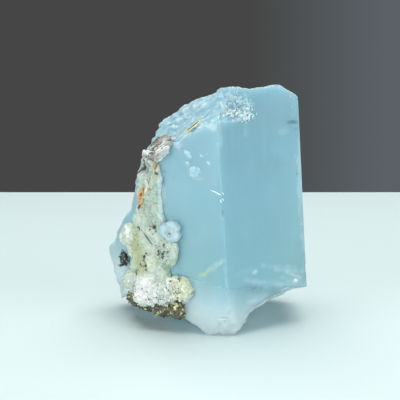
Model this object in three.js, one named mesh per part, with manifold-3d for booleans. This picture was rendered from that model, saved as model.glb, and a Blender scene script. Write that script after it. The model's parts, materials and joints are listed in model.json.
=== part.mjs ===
// Aquamarine crystal: a broken hexagonal prism of pale blue beryl that stands on its broken foot,
// with feldspar, quartz and mica grown on its left flank. Millimetres, +Z up, +Y to the back.
// Until the last step x and y are measured from the foot of the prism's front edge.

import * as THREE from "three";
import { mergeVertices } from "three/addons/utils/BufferGeometryUtils.js";
import { ImprovedNoise } from "three/addons/math/ImprovedNoise.js";
import Module from "manifold-3d";

const wasm = await Module();
wasm.setup();

// The hexagonal prism. Its corners are all 120 degrees, and its faces differ in width.
const FRONT_EDGE_X = 1.6;
const RIGHT_FACE_TURN = 34; // degrees from the X axis to the right front face
const RIGHT_FACE = 15.3;
const SIDE_FACE = 12.5;
const BACK_FACE = 18;
const LEFT_FACE = 24;
const AXIS_LEAN = 3.5; // degrees, the top leans to the left
const PRISM_LOW = -6;
const PRISM_HIGH = 44;

// Broken surfaces.
const REACH = 64; // width of the block that a flat break takes away
const CELL = 1.8; // size of the facets of a broken surface

// The broken flank on the left, which carries the feldspar.
const FLANK_AT = [-9, 4.6, 20];
const FLANK_FACING = [-0.8, -0.6, -0.04];
const FLANK_ALONG = [0.6, -0.8, 0]; // level, to the front
const FLANK_TURN = 37; // degrees from the X axis to the flank's normal
const CRUST_RISE = 1; // height of the feldspar over the flank

const GAP = 0.35; // left between neighbours, so that none touches another

const noise = new ImprovedNoise();

// Smooth waves between about -1 and 1, with smaller waves on them.
function roughness(x, y, z, wave) {
  const coarse = noise.noise(x / wave, y / wave, z / wave);
  const fine = noise.noise((2.7 * x) / wave, (2.7 * y) / wave, (2.7 * z) / wave + 9.1);
  return 1.4 * coarse + 0.5 * fine;
}

function solidFrom(geometry) {
  const bare = geometry.clone();
  bare.deleteAttribute("normal");
  bare.deleteAttribute("uv");
  const merged = mergeVertices(bare, 1e-4);
  return new wasm.Manifold(
    new wasm.Mesh({
      numProp: 3,
      vertProperties: new Float32Array(merged.attributes.position.array),
      triVerts: new Uint32Array(merged.index.array),
    }),
  );
}

function geometryFrom(solid) {
  const mesh = solid.getMesh();
  const geometry = new THREE.BufferGeometry();
  geometry.setAttribute("position", new THREE.BufferAttribute(mesh.vertProperties, 3));
  geometry.setIndex(new THREE.BufferAttribute(mesh.triVerts, 1));
  return geometry;
}

function joined(solids) {
  return solids.reduce((all, solid) => all.add(solid));
}

// The block beyond a rough flat break at a point, which faces away from what is left.
function flatBreak({ at, facing, relief = 0.35, wave = 7, seed = 0 }) {
  const cells = Math.round(REACH / CELL);
  const block = new THREE.BoxGeometry(REACH, REACH, REACH, cells, cells, 1);
  block.translate(0, 0, REACH / 2);
  const p = block.attributes.position;
  for (let i = 0; i < p.count; i++) {
    if (p.getZ(i) < REACH / 2) {
      p.setZ(i, relief * roughness(p.getX(i), p.getY(i), seed, wave));
    }
  }
  const normal = new THREE.Vector3(...facing).normalize();
  block.applyQuaternion(
    new THREE.Quaternion().setFromUnitVectors(new THREE.Vector3(0, 0, 1), normal),
  );
  block.translate(...at);
  return solidFrom(block);
}

// A ball-like lump with a rough skin: it is added as a growth or taken away as a shell-shaped break.
function lump({ at, radii, turn = 0, relief = 0.3, wave = 5, seed = 0, detail = 12 }) {
  const ball = new THREE.IcosahedronGeometry(1, detail);
  ball.scale(...radii);
  const p = ball.attributes.position;
  const point = new THREE.Vector3();
  for (let i = 0; i < p.count; i++) {
    point.fromBufferAttribute(p, i);
    const lift = relief * roughness(point.x + seed, point.y, point.z, wave);
    point.addScaledVector(point.clone().normalize(), lift);
    p.setXYZ(i, point.x, point.y, point.z);
  }
  ball.rotateZ(THREE.MathUtils.degToRad(turn));
  ball.translate(...at);
  return solidFrom(ball);
}

// A stack of thin plates like the leaves of a book: along is the leaves' length, and through
// their depth into what they grow on.
function plates({ at, along, through, length, depth, thick, count, shift }) {
  const x = new THREE.Vector3(...along).normalize();
  const z = new THREE.Vector3(...through).cross(x).normalize();
  const y = new THREE.Vector3().crossVectors(z, x);
  const basis = new THREE.Matrix4().makeBasis(x, y, z).setPosition(...at);
  const leaves = [];
  for (let i = 0; i < count; i++) {
    const slide = Math.sin(2.3 * i + 0.7);
    const step = Math.sin(3.1 * i);
    const leaf = new THREE.BoxGeometry(length * (0.86 + 0.14 * slide), depth, 1.2 * thick);
    leaf.translate(shift * slide, 0.12 * depth * step, (i - (count - 1) / 2) * thick);
    leaves.push(solidFrom(leaf.applyMatrix4(basis)));
  }
  return joined(leaves);
}

// A piece that keeps the gap to its neighbours, once their room is taken from it.
function fitted(solid, neighbours) {
  const left = neighbours.reduce((rest, neighbour) => rest.subtract(grown(neighbour)), solid);
  return left.decompose().reduce((a, b) => (b.volume() > a.volume() ? b : a));
}

// The same solid with its skin moved out by the gap.
function grown(solid) {
  const geometry = geometryFrom(solid);
  geometry.computeVertexNormals();
  const p = geometry.attributes.position;
  const normals = geometry.attributes.normal;
  const point = new THREE.Vector3();
  const normal = new THREE.Vector3();
  for (let i = 0; i < p.count; i++) {
    normal.fromBufferAttribute(normals, i);
    point.fromBufferAttribute(p, i).addScaledVector(normal, GAP);
    p.setXYZ(i, point.x, point.y, point.z);
  }
  return solidFrom(geometry);
}

function prism() {
  // With corners of 120 degrees, four widths give the last two.
  const farLeft = SIDE_FACE + BACK_FACE - LEFT_FACE;
  const farBack = RIGHT_FACE + SIDE_FACE - farLeft;
  const widths = [RIGHT_FACE, SIDE_FACE, BACK_FACE, farBack, farLeft, LEFT_FACE];
  const corner = new THREE.Vector2();
  const corners = widths.map((width, i) => {
    const here = corner.clone();
    const way = THREE.MathUtils.degToRad(RIGHT_FACE_TURN + 60 * i);
    corner.add(new THREE.Vector2(Math.cos(way), Math.sin(way)).multiplyScalar(width));
    return here;
  });
  const body = new THREE.ExtrudeGeometry(new THREE.Shape(corners), {
    depth: PRISM_HIGH - PRISM_LOW,
    bevelEnabled: false,
  });
  body.translate(0, 0, PRISM_LOW);
  body.rotateY(THREE.MathUtils.degToRad(-AXIS_LEAN));
  body.translate(FRONT_EDGE_X, 0, 0);
  return solidFrom(body);
}

// What was broken off the prism.
const breaks = {
  crown: flatBreak({ at: [7.8, 5.7, 38.4], facing: [0, 0.17, 1], relief: 0.15, wave: 9, seed: 3 }),
  crownFall: flatBreak({ at: [9.2, 6, 38.3], facing: [0.42, 0.1, 0.9], relief: 0.2, seed: 5 }),
  crownCorner: flatBreak({ at: [11.6, 7.5, 37], facing: [0.85, 0, 0.6], relief: 0.15, seed: 6 }),
  shoulder: flatBreak({ at: [-0.5, 0, 33.5], facing: [-0.615, -0.481, 0.626], seed: 8 }),
  behindShoulder: flatBreak({ at: [-5.8, 9, 34.7], facing: [-0.38, 0.4, 0.77], seed: 31 }),
  // A notch takes away only what lies beyond both of its walls.
  crownStep: flatBreak({ at: [5.8, 4.5, 38.1], facing: [-0.24, 0.17, 1], seed: 14 }).intersect(
    flatBreak({ at: [3.9, 3, 38.05], facing: [0, 0.17, 1], relief: 0.2, wave: 5, seed: 16 }),
  ),
  shoulderStep: flatBreak({ at: [-0.7, 5, 37], facing: [-0.95, 0, 0.3], seed: 17 }).intersect(
    flatBreak({ at: [-1.3, 5, 36.8], facing: [-0.4, 0, 0.9], relief: 0.2, wave: 5, seed: 19 }),
  ),
  upperNotch: flatBreak({ at: [-9.15, 10.4, 32.7], facing: [-0.85, 0.3, 0.22], seed: 35 }).intersect(
    flatBreak({ at: [-11.2, 8, 27], facing: [-0.4, 0, 1], seed: 37 }),
  ),
  lowerNotch: flatBreak({ at: [-13.6, 10, 22.8], facing: [-0.95, 0.3, 0.35], seed: 25 }).intersect(
    flatBreak({ at: [-19.3, 18.2, 9.9], facing: [-0.9, 0.3, 0.75], seed: 27 }),
  ),
  // The scoop is knocked out of the front edge under the crown.
  scoop: lump({
    at: [3.1, -0.3, 35.5],
    radii: [5, 3, 3.3],
    turn: RIGHT_FACE_TURN,
    relief: 0.4,
    wave: 2.2,
    seed: 7,
  }),
  flank: flatBreak({ at: FLANK_AT, facing: FLANK_FACING, wave: 9, seed: 12 }),
  lobe: flatBreak({ at: [-19.1, 18.2, 9.9], facing: [-0.93, 0.1, -0.34], wave: 9, seed: 33 }),
  back: flatBreak({ at: [0, 20.3, 18], facing: [-0.12, 1, 0.12], relief: 0.6, wave: 10, seed: 21 }),
  // The toe is where the front edge is broken off above the floor.
  toe: flatBreak({ at: [0.6, 1.5, 0.3], facing: [-0.04, -0.97, -0.25], relief: 0.2, seed: 41 }),
  // Hollows on both sides of the foot leave a keel that widens to the back.
  rightHollow: lump({ at: [14.5, 9, -8], radii: [13.9, 40, 14.1], turn: -7, seed: 2, detail: 15 }),
  heelHollow: lump({ at: [8, 7, 0.5], radii: [3.9, 18, 3.9], turn: -7, seed: 15 }),
  leftHollow: lump({ at: [-10.9, 9, -8.7], radii: [11.9, 40, 11.9], turn: 9, seed: 4, detail: 15 }),
  floor: flatBreak({ at: [0, 10, 0], facing: [0, 0, -1], relief: 0 }),
};

const crystal = Object.values(breaks).reduce((left, taken) => left.subtract(taken), prism());

const silverMica = fitted(
  plates({
    at: [-8.8, 4.2, 29],
    along: [0.67, -0.2, 0.55],
    through: [-0.6, -0.7, 0.4],
    length: 4.3,
    depth: 2.2,
    thick: 0.36,
    count: 7,
    shift: 0.5,
  }),
  [crystal],
);

const goldenMica = fitted(
  plates({
    at: [-4.1, 2.7, 32.3],
    along: [2.3, -0.3, 1.7],
    through: [-0.55, -0.5, 0.67],
    length: 2.6,
    depth: 1.6,
    thick: 0.3,
    count: 2,
    shift: 0.15,
  }),
  [crystal],
);

const rustyMica = fitted(
  plates({
    at: [-11.5, 6.8, 21.2],
    along: [1.3, -1, 2.6],
    through: [-0.8, -0.6, 0],
    length: 4.2,
    depth: 1.7,
    thick: 0.34,
    count: 3,
    shift: 0.25,
  }),
  [crystal],
);

const brownMica = fitted(
  plates({
    at: [-9.8, 5, 25],
    along: [0.15, 0, 1],
    through: [-0.7, -0.7, 0],
    length: 2.6,
    depth: 1.5,
    thick: 0.3,
    count: 3,
    shift: 0.2,
  }),
  [crystal, silverMica],
);

// A lump on the flank lies half in it: its radii are its height above it, half width and half length.
const ON_FLANK = { turn: FLANK_TURN, relief: 0.2, wave: 2.2, detail: 3 };

const darkMica = fitted(
  lump({ ...ON_FLANK, at: [-15.5, 13.3, 9.7], radii: [1, 0.9, 1.35], relief: 0.12, seed: 9 }),
  [crystal],
);

const quartz = fitted(
  lump({ ...ON_FLANK, at: [-7.2, 3.6, 16], radii: [1.5, 1.6, 1.7], relief: 0.1, detail: 4 }),
  [crystal],
);

const micaCluster = fitted(
  joined([
    lump({ ...ON_FLANK, at: [-13.6, 11.8, 3.3], radii: [1.4, 2, 1.4], seed: 50 }),
    lump({ ...ON_FLANK, at: [-11.6, 9.2, 3.3], radii: [1.8, 2.2, 1.5], seed: 51 }),
    lump({ ...ON_FLANK, at: [-9.1, 6.6, 3.6], radii: [1.9, 2.2, 1.4], seed: 52 }),
    lump({ ...ON_FLANK, at: [-6.7, 4.4, 3.3], radii: [1.5, 1.8, 1.3], seed: 53 }),
  ]),
  [crystal],
);

// The feldspar's outline on the flank: the first number runs along it, and the second is the height.
const CRUST_OUTLINE = [
  [-3.5, 26.8],
  [-2.4, 28],
  [-0.8, 26.6],
  [0.4, 24],
  [0.2, 20],
  [0.9, 17],
  [1.2, 11],
  [1.2, 4],
  [-4, 3.6],
  [-8.6, 4.6],
  [-9.4, 6.5],
  [-8, 10],
  [-10.6, 12.5],
  [-9.8, 15],
  [-7, 16.8],
  [-6.5, 19.8],
  [-5.2, 23],
];

function crustLayer() {
  const points = CRUST_OUTLINE.map((point) => new THREE.Vector2(...point));
  const outline = new THREE.Shape([points[0]]);
  outline.splineThru([...points.slice(1), points[0]]);
  const slab = new THREE.ExtrudeGeometry(outline, {
    depth: 3 * CRUST_RISE,
    bevelEnabled: false,
    curveSegments: 2,
  });
  slab.translate(0, 0, -CRUST_RISE);
  const along = new THREE.Vector3(...FLANK_ALONG);
  const up = new THREE.Vector3(0, 0, 1);
  const out = new THREE.Vector3().crossVectors(along, up);
  const [x, y] = FLANK_AT;
  slab.applyMatrix4(new THREE.Matrix4().makeBasis(along, up, out).setPosition(x, y, 0));
  const skin = new THREE.Vector3(...FLANK_AT).addScaledVector(out, CRUST_RISE);
  const air = flatBreak({ at: skin.toArray(), facing: FLANK_FACING, relief: 0.25, wave: 4 });
  return solidFrom(slab).subtract(air);
}

const feldspar = fitted(
  joined([
    crustLayer(),
    lump({ ...ON_FLANK, at: [-8.6, 4.6, 13], radii: [1.3, 2.6, 3.4], seed: 60 }),
    lump({ ...ON_FLANK, at: [-13.4, 11.5, 6.2], radii: [1.9, 2.9, 2.5], seed: 63 }),
    lump({ ...ON_FLANK, at: [-11, 8.4, 6.5], radii: [2.5, 3.2, 2.7], seed: 66 }),
    lump({ ...ON_FLANK, at: [-8.4, 5.2, 6.8], radii: [2.4, 3, 2.5], seed: 69 }),
    lump({ ...ON_FLANK, at: [-6.1, 3.3, 7.2], radii: [1.6, 2.5, 2], seed: 72 }),
  ]),
  [crystal, silverMica, rustyMica, brownMica, darkMica, quartz, micaCluster],
);

function finish(color, roughness) {
  return new THREE.MeshStandardMaterial({ color, roughness, metalness: 0 });
}

const BERYL = finish(0x8bbfd0, 0.2);
const FELDSPAR = finish(0xdde3da, 0.85);
const MILKY_QUARTZ = finish(0xc6dde6, 0.35);
const SILVER_MICA = finish(0xaeb2a6, 0.4);
const GOLDEN_MICA = finish(0xb9a55e, 0.4);
const RUSTY_MICA = finish(0xb9853f, 0.55);
const BROWN_MICA = finish(0x75694a, 0.6);
const DARK_MICA = finish(0x2f3b36, 0.35);

const group = new THREE.Group();
function add(name, solid, material) {
  const mesh = new THREE.Mesh(geometryFrom(solid), material);
  mesh.name = name;
  group.add(mesh);
}
add("aquamarine_crystal", crystal, BERYL);
add("feldspar_crust", feldspar, FELDSPAR);
add("quartz_knob", quartz, MILKY_QUARTZ);
add("silver_mica_book", silverMica, SILVER_MICA);
add("golden_mica_sliver", goldenMica, GOLDEN_MICA);
add("rusty_mica_blade", rustyMica, RUSTY_MICA);
add("brown_mica_blade", brownMica, BROWN_MICA);
add("brown_mica_cluster", micaCluster, BROWN_MICA);
add("dark_mica_grain", darkMica, DARK_MICA);

// The origin is the middle of the box round the whole object, at the level that it stands on.
const box = new THREE.Box3().setFromObject(group);
const middle = box.getCenter(new THREE.Vector3());
group.position.set(-middle.x, -middle.y, -box.min.z);

export default group;
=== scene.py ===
"""Aquamarine crystal with its crust of feldspar, quartz and mica, laid out as a Blender add-on.

Tables give places in millimetres from the foot of the prism's front edge, +Y to the back. Pieces are made in
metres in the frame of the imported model."""

import functools
import json
import math

import bmesh
import bpy
import numpy as np
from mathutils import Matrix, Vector
from mathutils.bvhtree import BVHTree

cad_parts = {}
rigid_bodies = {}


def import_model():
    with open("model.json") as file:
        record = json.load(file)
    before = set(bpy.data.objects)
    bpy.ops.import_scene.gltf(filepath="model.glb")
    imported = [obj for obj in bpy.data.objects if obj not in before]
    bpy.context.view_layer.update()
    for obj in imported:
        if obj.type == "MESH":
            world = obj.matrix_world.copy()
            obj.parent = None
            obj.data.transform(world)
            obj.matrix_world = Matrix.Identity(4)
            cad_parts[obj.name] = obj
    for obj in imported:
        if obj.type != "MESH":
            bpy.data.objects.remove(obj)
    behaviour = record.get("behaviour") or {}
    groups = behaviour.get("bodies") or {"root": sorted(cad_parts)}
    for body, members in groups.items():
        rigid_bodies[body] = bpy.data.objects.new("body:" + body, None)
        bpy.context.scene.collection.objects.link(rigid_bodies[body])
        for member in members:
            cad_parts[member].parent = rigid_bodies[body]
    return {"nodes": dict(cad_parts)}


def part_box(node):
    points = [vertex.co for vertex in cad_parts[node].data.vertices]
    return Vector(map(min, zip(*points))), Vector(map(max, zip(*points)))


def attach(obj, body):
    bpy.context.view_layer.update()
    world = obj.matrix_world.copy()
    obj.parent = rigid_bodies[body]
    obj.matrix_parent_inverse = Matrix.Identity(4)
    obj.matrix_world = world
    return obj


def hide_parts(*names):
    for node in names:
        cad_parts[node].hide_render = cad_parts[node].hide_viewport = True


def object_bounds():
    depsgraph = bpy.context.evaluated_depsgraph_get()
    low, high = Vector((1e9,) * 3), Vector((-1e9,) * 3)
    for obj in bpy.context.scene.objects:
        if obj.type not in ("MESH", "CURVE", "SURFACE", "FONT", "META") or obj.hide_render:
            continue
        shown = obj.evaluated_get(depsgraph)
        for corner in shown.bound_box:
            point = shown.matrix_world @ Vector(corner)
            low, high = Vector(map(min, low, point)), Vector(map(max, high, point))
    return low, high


bl_info = {
    "name": "Aquamarine Crystal",
    "version": (1, 0, 0),
    "blender": (4, 5, 0),
    "location": "View3D > Sidebar > Aquamarine",
    "description": "Grows a broken aquamarine prism and its crust over a fixed frame",
    "category": "Add Mesh",
}

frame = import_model()
CAD_LOW, CAD_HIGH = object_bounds()

MM = 0.001
FOOT = np.array([CAD_LOW.x + 18.8536 * MM, CAD_LOW.y, 0.0])  # the foot of the prism's front edge
BOX_LOW, BOX_HIGH = ((np.array(corner) - FOOT) / MM for corner in (CAD_LOW, CAD_HIGH))


# ---------------------------------------------------------------- noise


def hashed(cell, seed):
    """Numbers from 0 to 1 for whole-number cells, the same on each run."""
    c = cell.astype(np.int64)
    n = (c[..., 0] * 73856093) ^ (c[..., 1] * 19349663) ^ (c[..., 2] * 83492791) ^ (seed * 40503 + 977)
    n = ((n ^ (n >> 13)) * 1274126177) & 0xFFFFFFFF
    n = ((n ^ (n >> 15)) * 2246822519) & 0xFFFFFFFF
    return ((n ^ (n >> 16)) & 0xFFFFFF) / 0xFFFFFF


def waves(points, wave, seed):
    """Smooth noise from -1 to 1 with humps one wave apart."""
    q = points / wave
    low = np.floor(q)
    f = q - low
    f = f * f * (3 - 2 * f)
    total = np.zeros(len(points))
    for corner in np.ndindex(2, 2, 2):
        at = np.array(corner)
        total += np.prod(np.where(at, f, 1 - f), axis=1) * hashed(low + at, seed)
    return 2 * total - 1


def roughness(points, wave, octaves, seed):
    """Waves with smaller waves on them, from about -1 to 1."""
    return sum(waves(points + 3.7 * n, wave / 2**n, seed + n) * 0.5**n for n in range(octaves))


def grains(points, size, seed):
    """Distances to the nearest grain's centre and the next, the way from it, and the grain's number."""
    q = points / size
    low = np.floor(q)
    near = np.full(len(points), 9.0)
    second = near.copy()
    way = np.zeros_like(points)
    number = np.zeros(len(points))
    for corner in np.ndindex(3, 3, 3):
        cell = low + np.array(corner) - 1
        centre = cell + 0.1 + 0.8 * np.stack([hashed(cell, seed + k) for k in range(3)], axis=1)
        offset = q - centre
        far = np.linalg.norm(offset, axis=1)
        closer = far < near
        second = np.where(closer, near, np.minimum(second, far))
        near = np.where(closer, far, near)
        way[closer] = offset[closer]
        number[closer] = hashed(cell, seed + 5)[closer]
    return near, second, way, number


def faceted(points, size, seed):
    """Grains whose tops are flat and each tilt their own way, from about -1 to 1."""
    near, second, way, number = grains(points, size, seed)
    angle = number * 61.7
    tilt = np.stack([np.cos(angle), np.sin(angle), np.cos(1.7 * angle)], axis=1)
    return (way * tilt).sum(1) + 0.8 * np.minimum(second - near, 0.45) - 0.2 + 0.5 * (number - 0.5)


def stepped(value, rise=0.3):
    """Terraces one unit high, whose rise takes that share of each step."""
    low = np.floor(value)
    f = np.clip((value - low - 1 + rise) / rise, 0, 1)
    return low + f * f * (3 - 2 * f)


def soft(value, low, high):
    """0 under low and 1 over high, with a smooth change between them."""
    f = np.clip((value - low) / (high - low), 0, 1)
    return f * f * (3 - 2 * f)


def near_to(points, centre, radii):
    """1 at a centre, falling smoothly to 0 at the edge of its ellipsoid."""
    return 1 - soft(np.linalg.norm((points - centre) / radii, axis=1), 0.35, 1.0)


def strongest(points, lumps):
    """The most that soft ellipsoids give at each point: centre, radii and how strong."""
    return functools.reduce(np.maximum, [much * near_to(points, *lump) for *lump, much in lumps], 0.0)


def from_line(points, start, end):
    """Distance from a straight line between two places."""
    start, end = np.array(start, float), np.array(end, float)
    way = end - start
    t = np.clip((points - start) @ way / (way @ way), 0, 1)
    return np.linalg.norm(points - start - t[:, None] * way, axis=1)


def shifted(points, wave, amount, seed):
    """Points moved by up to the amount in waves, to make straight outlines ragged."""
    return points + amount * np.stack([waves(points, wave, seed + k) for k in range(3)], axis=1)


# ---------------------------------------------------------------- meshes


class Skin:
    """A surface of triangles, on which the nearest place is found."""

    def __init__(self, points, faces):
        self.tree = BVHTree.FromPolygons(points.tolist(), faces.tolist())

    def nearest(self, points):
        """The nearest places, the normals there, and the faces."""
        found = [self.tree.find_nearest(p) for p in points.tolist()]
        places = np.array([f[0][:] for f in found])
        normals = np.array([f[1][:] for f in found])
        return places, normals, np.array([f[2] for f in found])


def read(items, name, kind=np.float32, width=3):
    """One property of a mesh's points, edges or triangles, as rows."""
    values = np.empty(len(items) * width, kind)
    items.foreach_get(name, values)
    return values.reshape(-1, width)


def in_millimetres(mesh):
    """A mesh's points, in millimetres from the foot."""
    return (read(mesh.vertices, "co").astype(float) - FOOT) / MM


def cad_surface(node):
    """A CAD node's points and its triangles."""
    mesh = frame["nodes"][node].data
    mesh.calc_loop_triangles()
    return in_millimetres(mesh), read(mesh.loop_triangles, "vertices", np.int32)


def joined(shapes):
    """Several (points, faces) as one. Faces are lists, as they differ in their number of corners."""
    points, faces, count = [], [], 0
    for shape_points, shape_faces in shapes:
        points.append(np.asarray(shape_points, float))
        faces += [[int(v) + count for v in face] for face in shape_faces]
        count += len(shape_points)
    return np.concatenate(points), faces


def remeshed(points, faces, voxel):
    """One closed skin of even quads round shapes that may overlap: its points, quads and edges."""
    mesh = bpy.data.meshes.new("rough cast")
    mesh.from_pydata(points.tolist(), [], [list(map(int, f)) for f in faces])
    cast = bpy.data.objects.new("rough cast", mesh)
    bpy.context.scene.collection.objects.link(cast)
    modifier = cast.modifiers.new("voxels", "REMESH")
    modifier.mode, modifier.voxel_size = "VOXEL", voxel
    made = bpy.data.meshes.new_from_object(cast.evaluated_get(bpy.context.evaluated_depsgraph_get()))
    skin = read(made.vertices, "co").astype(float), [list(p.vertices) for p in made.polygons]
    edges = read(made.edges, "vertices", np.int32, 2)
    for data, store in ((cast, bpy.data.objects), (mesh, bpy.data.meshes), (made, bpy.data.meshes)):
        store.remove(data)
    return *skin, edges


def blurred(values, edges, rounds):
    """Numbers at points, each averaged with its neighbours'."""
    count = 1 + np.bincount(edges.ravel(), minlength=len(values))
    for _ in range(rounds):
        total = values.copy()
        total += np.bincount(edges[:, 0], values[edges[:, 1]], len(values))
        total += np.bincount(edges[:, 1], values[edges[:, 0]], len(values))
        values = total / count
    return values


def relaxed(points, edges, rounds):
    """Points each moved towards the middle of their neighbours."""
    return np.stack([blurred(points[:, k].copy(), edges, rounds) for k in range(3)], axis=1)


def point_normals(points, quads):
    """Normals at the points of an even mesh."""
    quads = np.array(quads)
    a, b, c, d = (points[quads[:, k]] for k in range(4))
    cross = np.cross(c - a, d - b)
    normals = np.zeros_like(points)
    for k in range(4):
        for axis in range(3):
            normals[:, axis] += np.bincount(quads[:, k], cross[:, axis], len(points))
    return normals / np.maximum(np.linalg.norm(normals, axis=1), 1e-12)[:, None]


def placed(name, shape, finish, stands_for=(), smooth=180):
    """A finished piece on the fixed body. Its shape is points, faces and marks, which are numbers at the
    points. Edges over smooth degrees stay sharp."""
    points, faces, marks = shape
    mesh = bpy.data.meshes.new(name)
    points = np.clip(points, BOX_LOW, BOX_HIGH) * MM + FOOT
    mesh.from_pydata(points.tolist(), [], [list(map(int, f)) for f in faces])
    for mark, values in marks.items():
        values = np.asarray(values, np.float32)
        mesh.attributes.new(mark, "FLOAT", "POINT").data.foreach_set("value", values)
    mesh.polygons.foreach_set("use_smooth", [True] * len(mesh.polygons))
    if smooth < 180:
        mesh.set_sharp_from_angle(angle=math.radians(smooth))
    mesh.materials.append(finish)
    piece = bpy.data.objects.new(name, mesh)
    bpy.context.scene.collection.objects.link(piece)
    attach(piece, "root")
    if stands_for:
        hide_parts(*stands_for)


def skin_of(piece):
    """The surface of a piece that is already placed."""
    mesh = bpy.data.objects[piece].data
    return Skin(in_millimetres(mesh), np.array([list(p.vertices) for p in mesh.polygons]))


def axes(along, out):
    """Three square unit directions as rows: along, across and out."""
    out = np.array(out, float) / np.linalg.norm(out)
    along = np.array(along, float) - out * (np.array(along, float) @ out)
    along /= np.linalg.norm(along)
    return np.stack([along, np.cross(out, along), out])


def leaf(centre, along, out, length, width, thick, draw, ragged=0.25, bend=0.0, corners=18, rings=3):
    """A thin closed sheet with a ragged outline, thinner at its rim."""
    angles = (np.arange(corners) + draw.uniform(-0.3, 0.3, corners)) * 2 * math.pi / corners
    reach = 1 + ragged * draw.uniform(-1, 0.35, corners)
    half = np.array([length / 2, width / 2])
    rim = np.stack([np.cos(angles) * length / 2, np.sin(angles) * width / 2], axis=1)
    rim = np.clip(rim * 1.15, -half, half) * reach[:, None]
    flat = np.concatenate([[[0, 0]]] + [rim * (k + 1) / rings for k in range(rings)])
    curl = draw.uniform(-1, 1, 3)
    u, v = flat[:, 0] * 2 / length, flat[:, 1] * 2 / width
    lift = bend * (curl[0] * u * u + curl[1] * v * v + curl[2] * u * v)
    share = np.concatenate([[0]] + [np.full(corners, (k + 1) / rings) for k in range(rings)])
    body = thick / 2 * (1 - 0.55 * share**3)
    sides = [np.column_stack([flat, lift + side * body]) for side in (1, -1)]
    under, last = len(flat), 1 + (rings - 1) * corners
    faces = []
    for k in range(corners):
        n = (k + 1) % corners
        faces += [[0, 1 + k, 1 + n], [under, under + 1 + n, under + 1 + k]]
        for ring in range(rings - 1):
            a, b = 1 + ring * corners + k, 1 + ring * corners + n
            c, d = b + corners, a + corners
            faces += [[a, d, c, b], [under + b, under + c, under + d, under + a]]
        faces.append([last + k, under + last + k, under + last + n, last + n])
    return np.concatenate(sides) @ axes(along, out) + centre, faces


CHIP_KINDS = 14  # how many different shards there are to copy
SCATTER = 0.62  # the share of a spread that most places keep within


def taken(work):
    """A bmesh's points and faces. The bmesh is freed."""
    work.verts.index_update()
    shape = np.array([v.co[:] for v in work.verts]), [[v.index for v in f.verts] for f in work.faces]
    work.free()
    return shape


def ball(centre, radii):
    """A closed ball of even facets."""
    work = bmesh.new()
    bmesh.ops.create_icosphere(work, subdivisions=3, radius=1)
    points, faces = taken(work)
    return points * radii + centre, faces


def chip_shapes(draw, corners=12):
    """Convex shards of about one unit, to be copied."""
    shapes = []
    for _ in range(CHIP_KINDS):
        cloud = draw.normal(size=(corners, 3))
        cloud /= np.linalg.norm(cloud, axis=1)[:, None]
        cloud *= draw.uniform(0.75, 1.0, (corners, 1))
        work = bmesh.new()
        for p in cloud:
            work.verts.new(p)
        bmesh.ops.convex_hull(work, input=work.verts)
        for v in [v for v in work.verts if not v.link_faces]:
            work.verts.remove(v)
        bmesh.ops.recalc_face_normals(work, faces=work.faces)
        shapes.append(taken(work))
    return shapes


def shard(shape, centre, along, out, size):
    """A copy of a chip shape, turned and stretched to a size along, across and out."""
    points, faces = shape
    return points * (np.array(size) / 2) @ axes(along, out) + centre, faces


def toned(shapes, tones):
    """Shapes joined, with one tone for each shape as a mark at its points."""
    return *joined(shapes), {"tone": np.repeat(tones, [len(s[0]) for s in shapes])}


def on_skin(skin, centre, spread, count, draw):
    """Random places on a skin round a centre, each with the normal there."""
    cloud = np.array(centre) + draw.normal(size=(count, 3)) * np.array(spread) * SCATTER
    return list(zip(*skin.nearest(cloud)[:2]))


# ---------------------------------------------------------------- finishes


def maths(operation, swapped=False):
    """A method that adds a Math node on a wire and another value."""

    def method(self, other):
        values = (other, self) if swapped else (self, other)
        return self.nodes.node("ShaderNodeMath", {"operation": operation}, dict(enumerate(values)))

    return method


class Wire:
    """A socket that Python's operators work on, each adding its Math node."""

    def __init__(self, nodes, socket):
        self.nodes, self.socket = nodes, socket

    __add__ = __radd__ = maths("ADD")
    __sub__ = maths("SUBTRACT")
    __rsub__ = maths("SUBTRACT", swapped=True)
    __mul__ = __rmul__ = maths("MULTIPLY")
    most = maths("MAXIMUM")

    def band(self, low, high):
        """0 at low and 1 at high, with a smooth change between them; low may be the greater."""
        if low > high:
            return 1 - self.band(high, low)
        inputs = {"Value": self, "From Min": low, "From Max": high}
        return self.nodes.node("ShaderNodeMapRange", {"interpolation_type": "SMOOTHSTEP"}, inputs)


class Nodes:
    """A node tree that one method adds to."""

    def __init__(self, owner):
        owner.use_nodes = True
        self.tree = owner.node_tree
        self.tree.nodes.clear()

    def node(self, kind, settings, inputs, output=0):
        """Adds a node with its settings, then its sockets' values or links, and returns one output."""
        made = self.tree.nodes.new(kind)
        for name, value in settings.items():
            if name == "stops":
                elements = made.color_ramp.elements
                elements.remove(elements[1])
                elements[0].position = value[0][0]
                for position, _ in value[1:]:
                    elements.new(position)
                for element, (_, colour) in zip(elements, value):
                    element.color = (*colour, 1)
            else:
                setattr(made, name, value)
        for key, value in inputs.items():
            if isinstance(value, Wire):
                self.tree.links.new(value.socket, made.inputs[key])
            else:
                made.inputs[key].default_value = value
        return Wire(self, made.outputs[output]) if made.outputs else None

    def mix(self, base, other, amount):
        """One colour laid over another."""
        base, other = (c if isinstance(c, Wire) else (*c, 1) for c in (base, other))
        return self.node("ShaderNodeMix", {"data_type": "RGBA"}, {0: amount, 6: base, 7: other}, 2)


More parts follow.
